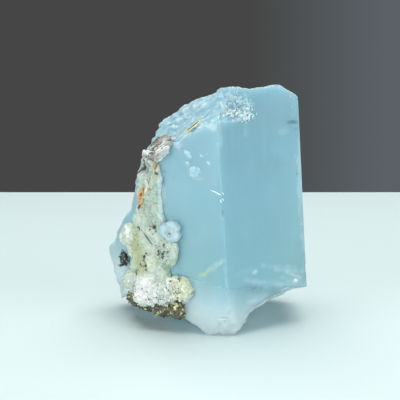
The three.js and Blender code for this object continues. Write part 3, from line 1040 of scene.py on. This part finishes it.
SPECKS = (  # small dark flakes on the crust: middle, spread, how many, and their width
    ([-10.1, 4.9, 16.5], [0.7, 0.7, 0.75], 29, 0.42),
    ([-12.7, 8.3, 15.6], [0.6, 0.6, 0.35], 16, 0.34),
    ([-14.4, 10.7, 13.3], [0.4, 0.6, 1.2], 16, 0.24),
    ([-7.9, 2.4, 15.9], [0.12, 0.1, 0.06], 3, 0.26),
    ([-8.9, 3.2, 13.0], [1.2, 1.1, 0.9], 47, 0.36),
    ([-11.8, 7.4, 10.4], [0.55, 0.7, 0.95], 34, 0.42),
    ([-15.6, 14.0, 6.8], [0.2, 0.2, 0.15], 4, 0.3),
    ([-13.4, 9.5, 8.1], [0.12, 0.2, 0.35], 5, 0.26),
    ([-7.6, 3.0, 8.2], [0.25, 0.3, 0.2], 6, 0.3),
    ([-6.3, 2.2, 8.7], [0.18, 0.2, 0.2], 5, 0.36),
    ([-6.7, 1.8, 6.9], [0.5, 0.3, 0.4], 10, 0.28),
    ([-4.3, 1.9, 6.9], [0.15, 0.3, 0.45], 9, 0.34),
    ([-10.0, 3.7, 7.5], [0.15, 0.2, 0.12], 3, 0.28),
    ([-9.4, 4.2, 5.4], [3.2, 2.6, 0.6], 117, 0.24),
    ([-12.8, 8.4, 5.6], [1.0, 1.2, 0.8], 29, 0.2),
    ([-7.5, 3.1, 6.5], [1.3, 1.2, 1.3], 57, 0.24),
    ([-11.3, 5.5, 26.6], [0.5, 0.5, 0.8], 16, 0.26),
    ([-11.8, 6.2, 25.8], [0.2, 0.3, 0.5], 8, 0.28),
    ([-10.5, 4.4, 27.6], [0.7, 0.7, 0.35], 16, 0.26),
    ([-9.9, 4.3, 26.7], [0.3, 0.4, 0.5], 8, 0.3),
    ([-8.4, 4.2, 23.6], [0.1, 0.1, 0.35], 5, 0.16),
    ([-8.4, 4.2, 25.5], [0.1, 0.1, 0.1], 3, 0.16),
    ([-11.5, 6.4, 19.0], [0.8, 0.8, 1.2], 12, 0.18),
)
NEEDLES = (  # dark slivers: start, end and width
    ([-11.75, 6.9, 15.1], [-10.5, 5.4, 13.45], 0.16),
    ([-11.6, 6.0, 26.0], [-12.2, 6.9, 24.2], 0.34),
    ([-11.7, 6.2, 25.6], [-12.0, 6.6, 24.9], 0.4),
)


RUSTY_LATHS = (  # centre, along, length, width and tone
    ([-10.9, 5.4, 22.9], [1.1, -0.9, 1.9], 3.2, 1.0, 0.98),
    ([-10.6, 5.2, 23.3], [1.1, -0.9, 1.7], 2.2, 0.45, 0.82),
    ([-11.4, 5.8, 22.3], [0.9, -0.7, 1.6], 1.6, 0.8, 0.9),
    ([-12.2, 6.7, 21.2], [0.5, -0.3, 2.0], 2.6, 1.4, 0.6),
    ([-12.2, 6.6, 21.4], [0.5, -0.3, 1.5], 1.8, 1.0, 0.36),
    ([-12.15, 6.5, 21.1], [0.4, -0.3, 1.5], 1.1, 0.55, 0.16),
    ([-12.4, 6.9, 20.6], [0.2, -0.2, 1.5], 1.5, 1.0, 0.55),
    ([-11.8, 6.3, 20.3], [1.0, -0.7, 0.6], 1.3, 0.6, 0.74),
    ([-12.6, 7.4, 19.7], [0.2, -0.1, 1.5], 1.3, 0.6, 0.62),
    ([-12.5, 7.3, 19.3], [0.5, -0.3, 1.0], 0.9, 0.5, 0.03),
    ([-11.6, 6.2, 19.8], [1.0, -0.6, 0.5], 1.2, 0.4, 0.7),
)
BROWN_LATHS = (
    ([-9.95, 4.4, 25.6], [0.15, -0.1, 1.0], 2.1, 0.39, 0.7),
    ([-9.55, 4.1, 25.4], [0.05, -0.1, 1.0], 2.3, 0.364, 0.85),
    ([-9.75, 4.2, 25.9], [0.1, -0.1, 1.0], 1.2, 0.39, 0.35),
    ([-9.5, 4.05, 24.9], [0.1, -0.1, 1.0], 0.75, 0.468, 0.0),
    ([-9.6, 4.1, 25.1], [0.1, -0.2, 0.8], 0.5, 0.39, 0.08),
    ([-9.35, 4.05, 24.3], [0.1, -0.1, 1.0], 0.7, 0.325, 0.9),
)
BOOK_LEAVES, BOOK_CHIPS = 30, 34  # of the silver book: its leaves, and chips on their front edges
BOOK_HALF = 1.5  # half the book's thickness
FLAKE_WAY = [0.8, -0.5, -0.35]  # the way the base flakes run
BASE_FLAKES, GRAIN_FLAKES = 800, 58


def grow_specks_mesh(skins):
    draw = np.random.default_rng(7)
    shapes = chip_shapes(draw)
    made = []
    for centre, spread, count, width in SPECKS:
        skin = min(skins, key=lambda s: np.linalg.norm(s.nearest(np.array([centre]))[0][0] - centre))
        for place, normal in on_skin(skin, centre, spread, count, draw):
            wide = width * draw.uniform(0.6, 1.5)
            out = normal + draw.normal(size=3) * 0.45
            size = [wide * draw.uniform(0.8, 1.5), wide * draw.uniform(0.6, 1.1), wide * 0.3]
            shape = shapes[draw.integers(len(shapes))]
            made.append(shard(shape, place + 0.14 * normal, draw.normal(size=3), out, size))
    for start, end, width in NEEDLES:
        start, end = skins[0].nearest(np.array([start, end]))[0]
        middle, way = (start + end) / 2, end - start
        out = skins[0].nearest(np.array([middle]))[1][0]
        long = np.linalg.norm(way) + 0.1
        made.append(leaf(middle + out * 0.25, way, out, long, width, 0.2, draw, 0.3, 0.02))
    return toned(made, draw.uniform(0, 1, len(made)))


def grow_silver_mesh():
    """A book of thin leaves on the shoulder's edge, with its leaves' edges to the front."""
    draw = np.random.default_rng(11)
    along, out = np.array([0.72, -0.24, 0.60]), np.array([-0.52, -0.62, 0.58])
    across = axes(along, out)[1]
    middle = np.array([-8.95, 3.95, 29.0])
    made, tones = [], []
    for n in range(BOOK_LEAVES):
        share = (n + draw.uniform(-0.3, 0.3)) / ((BOOK_LEAVES - 1) / 2) - 1
        centre = middle + across * share * BOOK_HALF + along * draw.uniform(-0.9, 0.9)
        centre = centre + out * draw.uniform(-0.3, 0.2)
        tilt = axes(along + draw.normal(size=3) * 0.05, across + draw.normal(size=3) * 0.08)
        length = draw.uniform(1.8, 3.9) * (1 - 0.2 * abs(share))
        deep = draw.uniform(1.0, 1.5)
        made.append(leaf(centre, tilt[0], tilt[2], length, deep, 0.11, draw, 0.4, 0.05, corners=22))
        tones.append(draw.uniform(0.0, 0.3) if n % 3 == 1 else draw.uniform(0.4, 0.95))
    for n in range(BOOK_CHIPS):
        share = draw.uniform(-1, 1)
        centre = middle + across * share * BOOK_HALF
        centre = centre + along * draw.uniform(-1.6, 1.6) * (1 - 0.4 * abs(share))
        centre = centre + out * draw.uniform(0.3, 0.62)
        face = out + across * draw.uniform(-0.9, 0.9) + draw.normal(size=3) * 0.2
        length, width = draw.uniform(0.6, 1.6), draw.uniform(0.16, 0.4)
        made.append(leaf(centre, along, face, length, width, 0.1, draw, 0.35, 0.04, corners=12))
        tones.append(draw.uniform(0.05, 0.35) if n % 3 == 0 else draw.uniform(0.4, 1.0))
    return toned(made, tones)


def grow_golden_mesh():
    draw = np.random.default_rng(13)
    made = [
        leaf(centre, [2.35, -0.6, 1.9], [-0.6, -0.52, 0.6], *size, draw, *shape)
        for centre, size, shape in (
            ([-4.15, 2.74, 32.24], (3.2, 0.85, 0.16), (0.35, 0.05, 20)),
            ([-4.0, 2.66, 32.38], (2.5, 0.5, 0.16), (0.3, 0.03)),
            ([-4.02, 2.60, 32.44], (2.3, 0.22, 0.14), (0.2, 0.02)),
            ([-4.9, 2.9, 31.75], (0.9, 0.3, 0.12), (0.4, 0.03)),
        )
    ]
    return toned(made, [0.75, 0.95, 0.05, 0.5])


def grow_laths_mesh(skin, laths, seed, step, ragged, bend):
    """Narrow leaves on the crust, each a step further out than the one before."""
    draw = np.random.default_rng(seed)
    made = []
    for n, (centre, along, length, width, _) in enumerate(laths):
        places, normals, _ = skin.nearest(np.array([centre]))
        out = normals[0] + FLANK_OUT + draw.normal(size=3) * 0.12
        centre = places[0] + FLANK_OUT * (0.10 + step * n)
        made.append(leaf(centre, along, out, length, width, 0.16, draw, ragged, bend))
    return toned(made, [lath[-1] for lath in laths])


FLAKE_BED = (  # lumps under the base flakes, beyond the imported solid: centre and radii
    ([-13.0, 9.4, 3.7], [1.5, 1.6, 1.0]),
    ([-11.4, 7.4, 3.5], [1.7, 1.8, 1.1]),
    ([-8.9, 5.2, 3.3], [1.8, 1.9, 1.1]),
    ([-6.6, 3.4, 3.6], [1.1, 1.3, 1.4]),
)


def grow_base_mesh():
    draw = np.random.default_rng(23)
    p, quads, _ = filled("brown_mica_cluster", 0.14, 0.3, FLAKE_BED)
    p = p + point_normals(p, quads) * (0.12 * faceted(p, 0.8, 161) + 0.08 * faceted(p, 0.4, 171))[:, None]
    skin = Skin(p, np.array(quads))
    made, tones = [(p, quads)], [0.18]
    shapes = chip_shapes(draw)
    places, normals, _ = skin.nearest(p[draw.integers(len(p), size=BASE_FLAKES)])
    grain = axes(FLAKE_WAY, FLANK_OUT)[2]
    for place, normal in zip(places, normals):
        out = grain * 0.7 + normal * 0.5 + draw.normal(size=3) * 0.35
        width = draw.uniform(0.25, 0.65)
        shape = shapes[draw.integers(len(shapes))]
        way = FLAKE_WAY + draw.normal(size=3) * 0.4
        made.append(shard(shape, place + normal * 0.05, way, out, [width * 1.5, width, 0.13]))
        middle = soft(place[0], -11.4, -10.0) * (1 - soft(place[0], -8.4, -7.6))
        share = 0.10 + 0.34 * middle + 0.4 * soft(place[2], 3.6, 4.4)
        share += 0.9 * roughness(place[None], 1.0, 2, 381)[0]
        if draw.uniform() < share * (0.3 + 0.7 * soft(place[2], 2.6, 3.3)):
            tones.append(draw.uniform(0.38, 0.8))
        else:
            tones.append(1.2 if place[0] > -8.0 and draw.uniform() < 0.15 else draw.uniform(0.0, 0.25))
    places, normals, _ = skin.nearest(np.array([[-6.7, 2.8, 4.2]]))
    for n in range(3):
        out = normals[0] + draw.normal(size=3) * 0.2
        centre = places[0] + normals[0] * 0.05 * n
        made.append(leaf(centre, [0.6, 0.1, 0.5], out, 1.2 - 0.2 * n, 0.9 - 0.1 * n, 0.14, draw))
        tones.append(0.7)
    return toned(made, tones)


def grow_dark_grain_mesh():
    draw = np.random.default_rng(29)
    low, high = (np.array(c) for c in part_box("dark_mica_grain"))
    middle = ((low + high) / 2 - FOOT) / MM + [0.02, -0.1, 0]
    shapes = chip_shapes(draw)
    made, tones = [ball(middle, [0.5, 0.4, 1.0])], [0.2]
    for n in range(GRAIN_FLAKES):
        share = draw.uniform(-1, 1)
        reach = 1 - 0.6 * soft(share, -0.6, 1.0)
        offset = draw.normal(size=3) * [0.44, 0.36, 0] * reach + [-0.25 * share, 0, 1.3 * share]
        size = np.array([draw.uniform(0.8, 1.4), draw.uniform(0.5, 1.0), draw.uniform(0.2, 0.45)])
        shape = shapes[draw.integers(len(shapes))]
        along, out = draw.normal(size=3) + [0, 0, 1], draw.normal(size=3) + FLANK_OUT
        made.append(shard(shape, middle + offset, along, out, size * reach))
        tones.append(1.0 if n % 6 == 4 else draw.uniform(0, 0.6))
    return toned(made, tones)


def mica_finish(name, stops, rough, sheen):
    """Leaves whose colour goes by their own tone, with grime and fine cleavage lines."""
    f = Finish(name)
    stain = f.noise(0.5, 4, 0.65)
    fine = f.noise(0.1, 3, 0.6)
    colour = f.ramp(f.mark("tone") + 0.5 * (stain - 0.5), stops)
    return f.surface(
        {
            "Base Color": f.mix(colour, stops[0][1], fine.band(0.58, 0.75) * 0.35),
            "Roughness": rough + 0.25 * stain,
            "IOR": 1.58,
            "Coat Weight": sheen,
            "Coat Roughness": 0.2,
            "Normal": f.bump(fine + stain, 0.03, 0.7),
        }
    )


def place_mica(rows, rough, sheen):
    """Places pieces from rows of: name, a slot that is not used, the nodes they stand for, shape, and colours
    by tone.
    """
    for name, slot, nodes, shape, stops in rows:
        placed(name, shape, mica_finish(name, stops, rough, sheen), nodes, CRISP)


# ---------------------------------------------------------------- settings


class AquamarineBeryl(bpy.types.PropertyGroup):
    """The clear blue beryl."""

    colour: bpy.props.FloatVectorProperty(
        name="Beryl", description="Colour of the clean prism faces",
        default=(0.365, 0.635, 0.73), subtype="COLOR", min=0, max=1,
    )
    light: bpy.props.FloatVectorProperty(
        name="Light veins", description="Colour of the paler clouds in the beryl",
        default=(0.43, 0.67, 0.75), subtype="COLOR", min=0, max=1,
    )
    frost: bpy.props.FloatVectorProperty(
        name="Frost", description="Colour of broken and bruised surfaces",
        default=(0.82, 0.97, 1.0), subtype="COLOR", min=0, max=1,
    )
    low: bpy.props.FloatVectorProperty(
        name="Lower part", description="Colour of the prism near its foot",
        default=(0.325, 0.56, 0.595), subtype="COLOR", min=0, max=1,
    )
    # Also laid right of the front edge as painted shade on the right face.
    deep: bpy.props.FloatVectorProperty(
        name="Depth", description="Colour of the prism where it is thickest",
        default=(0.27, 0.52, 0.61), subtype="COLOR", min=0, max=1,
    )
    clear: bpy.props.FloatProperty(
        name="Clearness", description="Share of the light that passes through the beryl",
        default=0.5, subtype="FACTOR", min=0, max=1,
    )
    depth_colour: bpy.props.FloatVectorProperty(
        name="Depth colour", description="Colour that the beryl gives to light that crosses it",
        default=(0.35, 0.78, 0.92), subtype="COLOR", min=0, max=1,
    )
    depth_density: bpy.props.FloatProperty(
        name="Depth density", description="How fast the depth colour builds up, per metre",
        default=40.0, min=0, subtype="FACTOR",
    )


class AquamarineCrust(bpy.types.PropertyGroup):
    """The feldspar and the milky quartz."""

    white: bpy.props.FloatVectorProperty(
        name="White feldspar", description="Colour of the clean feldspar",
        default=(0.81, 0.84, 0.83), subtype="COLOR", min=0, max=1,
    )
    pale: bpy.props.FloatVectorProperty(
        name="Pale feldspar", description="Colour of the feldspar's duller patches",
        default=(0.42, 0.52, 0.43), subtype="COLOR", min=0, max=1,
    )
    green: bpy.props.FloatVectorProperty(
        name="Greenish feldspar", description="Colour of the thin crust over the beryl",
        default=(0.34, 0.43, 0.36), subtype="COLOR", min=0, max=1,
    )
    yellow: bpy.props.FloatVectorProperty(
        name="Stained band", description="Colour of the yellow-green band down the crust",
        default=(0.37, 0.40, 0.21), subtype="COLOR", min=0, max=1,
    )
    tip: bpy.props.FloatVectorProperty(
        name="Yellow tip", description="Colour of the crust's lower right tip",
        default=(0.56, 0.62, 0.42), subtype="COLOR", min=0, max=1,
    )
    lavender: bpy.props.FloatVectorProperty(
        name="Cool white", description="Colour of the cool white mass at the bottom",
        default=(0.74, 0.76, 0.79), subtype="COLOR", min=0, max=1,
    )
    quartz: bpy.props.FloatVectorProperty(
        name="Milky quartz", description="Colour of the quartz knob",
        default=(0.42, 0.58, 0.62), subtype="COLOR", min=0, max=1,
    )


class AquamarineMica(bpy.types.PropertyGroup):
    """The mica, from its darkest to its palest leaves."""

    dark: bpy.props.FloatVectorProperty(
        name="Dark mica", description="Colour of the dark flakes",
        default=(0.035, 0.042, 0.028), subtype="COLOR", min=0, max=1,
    )
    silver: bpy.props.FloatVectorProperty(
        name="Silver mica", description="Colour of the pale book",
        default=(0.44, 0.47, 0.47), subtype="COLOR", min=0, max=1,
    )
    rust: bpy.props.FloatVectorProperty(
        name="Rust", description="Colour of the iron stain",
        default=(0.50, 0.22, 0.05), subtype="COLOR", min=0, max=1,
    )
    gold: bpy.props.FloatVectorProperty(
        name="Gold", description="Colour of the yellow-green leaves",
        default=(0.46, 0.47, 0.18), subtype="COLOR", min=0, max=1,
    )


class AquamarineStage(bpy.types.PropertyGroup):
    """The floor, the lights and the camera."""

    floor: bpy.props.FloatVectorProperty(
        name="Floor", description="Colour of the floor",
        default=(0.54, 0.65, 0.645), subtype="COLOR", min=0, max=1,
    )
    backdrop: bpy.props.FloatVectorProperty(
        name="Backdrop", description="Colour of the dark surroundings",
        default=(0.060, 0.0615, 0.060), subtype="COLOR", min=0, max=1,
    )
    far_right: bpy.props.FloatVectorProperty(
        name="Backdrop, right", description="Colour of the surroundings on the right",
        default=(0.104, 0.12, 0.134), subtype="COLOR", min=0, max=1,
    )
    light: bpy.props.FloatProperty(
        name="Light", description="Share of the soft lights' power", default=0.73, min=0, subtype="FACTOR",
    )


# ---------------------------------------------------------------- operators

CRISP = 30  # degrees between faces above which an edge stays sharp


class AQUAMARINE_OT_prism(bpy.types.Operator):
    """Grow the broken prism of clear beryl"""

    bl_idname = "aquamarine.prism"
    bl_label = "Beryl prism"

    def execute(self, context):
        settings = context.scene.aquamarine_beryl
        finish = beryl_finish(settings)
        placed("beryl_prism", grow_prism_mesh(), finish, ["aquamarine_crystal"], smooth=32)
        nicks = grow_nicks_mesh(skin_of("beryl_prism"))
        placed("beryl_nicks", nicks, nick_finish(settings), smooth=CRISP)
        placed("healed_cracks", grow_sheets_mesh(), sheet_finish(settings))
        return {"FINISHED"}


class AQUAMARINE_OT_crust(bpy.types.Operator):
    """Grow the feldspar over the broken flank"""

    bl_idname = "aquamarine.crust"
    bl_label = "Feldspar crust"

    def execute(self, context):
        settings = context.scene.aquamarine_crust
        placed("feldspar_mass", grow_crust_mesh(), feldspar_finish(settings), ["feldspar_crust"])
        shape = grow_grains_mesh(skin_of("feldspar_mass"))
        placed("feldspar_grains", shape, grain_finish(settings), smooth=CRISP)
        return {"FINISHED"}


class AQUAMARINE_OT_knob(bpy.types.Operator):
    """Grow the knob of milky quartz"""

    bl_idname = "aquamarine.knob"
    bl_label = "Quartz knob"

    def execute(self, context):
        finish = quartz_finish(context.scene.aquamarine_crust)
        placed("milky_knob", grow_knob_mesh(), finish, ["quartz_knob"])
        return {"FINISHED"}


class AQUAMARINE_OT_blades(bpy.types.Operator):
    """Lay the silver book and the golden, rusty and brown blades"""

    bl_idname = "aquamarine.blades"
    bl_label = "Mica blades"

    def execute(self, context):
        settings = context.scene.aquamarine_mica
        crust = skin_of("feldspar_mass")
        dark, silver, rust, gold = (tuple(getattr(settings, n)) for n in ("dark", "silver", "rust", "gold"))
        pale = (1.0, (0.86, 0.86, 0.74))
        rows = (
            ("silver_leaves", "silver_mica", ["silver_mica_book"], grow_silver_mesh(),
             [(0.0, (0.16, 0.14, 0.11)), (0.2, (0.36, 0.33, 0.28)), (0.45, silver), (0.8, (0.80, 0.85, 0.84)),
              pale]),
            ("golden_lath", "golden_mica", ["golden_mica_sliver"], grow_golden_mesh(),
             [(0.0, dark), (0.2, (0.14, 0.14, 0.05)), (0.6, gold), pale]),
            ("rusty_laths", "rusty_mica", ["rusty_mica_blade"],
             grow_laths_mesh(crust, RUSTY_LATHS, 17, 0.03, 0.35, 0.08),
             [(0.0, dark), (0.2, (0.20, 0.08, 0.03)), (0.45, rust), (0.7, (0.62, 0.44, 0.18)), pale]),
            ("brown_laths", "brown_mica", ["brown_mica_blade"],
             grow_laths_mesh(crust, BROWN_LATHS, 19, 0.04, 0.3, 0.05),
             [(0.0, dark), (0.35, (0.22, 0.16, 0.07)), (0.7, (0.48, 0.34, 0.12)), (1.0, (0.62, 0.55, 0.30))]),
        )
        place_mica(rows, 0.28, 0.4)
        return {"FINISHED"}


class AQUAMARINE_OT_flakes(bpy.types.Operator):
    """Scatter the brown flakes, the dark grain and the specks"""

    bl_idname = "aquamarine.flakes"
    bl_label = "Mica flakes"

    def execute(self, context):
        dark = tuple(context.scene.aquamarine_mica.dark)
        skins = [skin_of(n) for n in ("feldspar_mass", "beryl_prism", "milky_knob")]
        rows = (
            ("brown_flakes", "brown_mica", ["brown_mica_cluster"], grow_base_mesh(),
             [(0.0, dark), (0.25, (0.08, 0.08, 0.035)), (0.45, (0.19, 0.20, 0.07)),
              (0.65, (0.38, 0.40, 0.20)), (0.9, (0.70, 0.72, 0.50)), (1.0, (0.27, 0.24, 0.05))]),
            ("dark_shards", "dark_mica", ["dark_mica_grain"], grow_dark_grain_mesh(),
             [(0.0, (0.012, 0.018, 0.014)), (0.6, (0.045, 0.06, 0.045)), (1.0, (0.24, 0.31, 0.29))]),
            ("dark_specks", "dark_mica", [], grow_specks_mesh(skins),
             [(0.0, dark), (0.6, (0.05, 0.056, 0.038)), (1.0, (0.13, 0.13, 0.085))]),
        )
        place_mica(rows, 0.3, 0.3)
        return {"FINISHED"}


FLOOR = [(-0.7, -0.6, 0), (0.7, -0.6, 0), (0.7, 0.125, 0), (-0.7, 0.125, 0)]
SOFTBOXES = (  # name, place and size in metres, and power in watts
    ("top softbox", (0.02, 0.06, 0.42), 0.45, 3.9),
    ("left softbox", (-0.32, -0.30, 0.11), 0.30, 1.64),
    ("right softbox", (0.34, -0.26, 0.18), 0.30, 1.1),
    ("front softbox", (0.0, -0.42, 0.05), 0.30, 1.75),
)
MIDDLE = Vector((0, 0, 0.019))  # what the softboxes face
CAMERA = {"lens": 90, "sensor_width": 36, "shift_x": -0.05, "shift_y": 0.0475, "clip_start": 0.01}
AIM_HEIGHT = 0.0187  # of the point that the camera looks down to
AIM_DISTANCE = 0.15
LOOKS_DOWN = math.radians(11)


class AQUAMARINE_OT_stage(bpy.types.Operator):
    """Set the floor, the soft lights and the camera"""

    bl_idname = "aquamarine.stage"
    bl_label = "Stage"

    def execute(self, context):
        scene = context.scene
        settings = scene.aquamarine_stage
        mesh = bpy.data.meshes.new("floor")
        mesh.from_pydata(FLOOR, [], [[0, 1, 2, 3]])
        f = Finish("floor")
        colour = f.mix(settings.floor, tuple(0.96 * c for c in settings.floor), f.noise(60.0, 2))
        mesh.materials.append(f.surface({"Base Color": colour, "Roughness": 0.5}))
        floor = self.added(scene, "floor", mesh)
        scene.world = self.surroundings(settings)
        for name, place, size, power in SOFTBOXES:
            light = bpy.data.lights.new(name, "AREA")
            light.shape = "SQUARE"
            light.size = size
            light.energy = power * settings.light
            lamp = self.added(scene, name, light)
            lamp.location = place
            lamp.rotation_euler = (MIDDLE - lamp.location).to_track_quat("-Z", "Y").to_euler()
        camera = bpy.data.cameras.new("camera")
        for name, value in CAMERA.items():
            setattr(camera, name, value)
        eye = self.added(scene, "camera", camera)
        target = Vector((FOOT[0], FOOT[1], AIM_HEIGHT))
        eye.location = target + Vector((0, -math.cos(LOOKS_DOWN), math.sin(LOOKS_DOWN))) * AIM_DISTANCE
        eye.rotation_euler = (math.pi / 2 - LOOKS_DOWN, 0, 0)
        scene.camera = eye
        scene.view_settings.view_transform = "Standard"
        return {"FINISHED"}

    def added(self, scene, name, data):
        made = bpy.data.objects.new(name, data)
        scene.collection.objects.link(made)
        return made

    def surroundings(self, settings):
        """A world that is a little lighter on the right."""
        world = bpy.data.worlds.new("surroundings")
        sky = Nodes(world)
        way = sky.node("ShaderNodeTexCoord", {}, {}, "Generated")
        across = sky.node("ShaderNodeSeparateXYZ", {}, {"Vector": way}, "X")
        share = sky.node("ShaderNodeMapRange", {}, {"Value": across, "From Min": 0.03, "From Max": 0.16})
        colour = sky.mix(settings.backdrop, settings.far_right, share)
        light = sky.node("ShaderNodeBackground", {}, {"Color": colour})
        sky.node("ShaderNodeOutputWorld", {}, {"Surface": light})
        return world


class AQUAMARINE_PT_panel(bpy.types.Panel):
    """Lists the steps and their settings"""

    bl_idname = "AQUAMARINE_PT_panel"
    bl_label = "Aquamarine"
    bl_space_type = "VIEW_3D"
    bl_region_type = "UI"
    bl_category = "Aquamarine"

    def draw(self, context):
        for operator in OPERATORS:
            self.layout.operator(operator.bl_idname)
        for group in GROUPS:
            box = self.layout.box()
            for name in group.__annotations__:
                box.prop(getattr(context.scene, GROUPS[group]), name)


GROUPS = {
    AquamarineBeryl: "aquamarine_beryl",
    AquamarineCrust: "aquamarine_crust",
    AquamarineMica: "aquamarine_mica",
    AquamarineStage: "aquamarine_stage",
}
OPERATORS = (
    AQUAMARINE_OT_prism,
    AQUAMARINE_OT_crust,
    AQUAMARINE_OT_knob,
    AQUAMARINE_OT_blades,
    AQUAMARINE_OT_flakes,
    AQUAMARINE_OT_stage,
)


def register():
    for kind in (*GROUPS, *OPERATORS, AQUAMARINE_PT_panel):
        bpy.utils.register_class(kind)
    for group, name in GROUPS.items():
        setattr(bpy.types.Scene, name, bpy.props.PointerProperty(type=group))


def unregister():
    for name in GROUPS.values():
        delattr(bpy.types.Scene, name)
    for kind in (AQUAMARINE_PT_panel, *reversed(OPERATORS), *GROUPS):
        bpy.utils.unregister_class(kind)


def main():
    register()
    for operator in OPERATORS:
        group, name = operator.bl_idname.split(".")
        getattr(getattr(bpy.ops, group), name)()


if __name__ == "__main__":
    main()
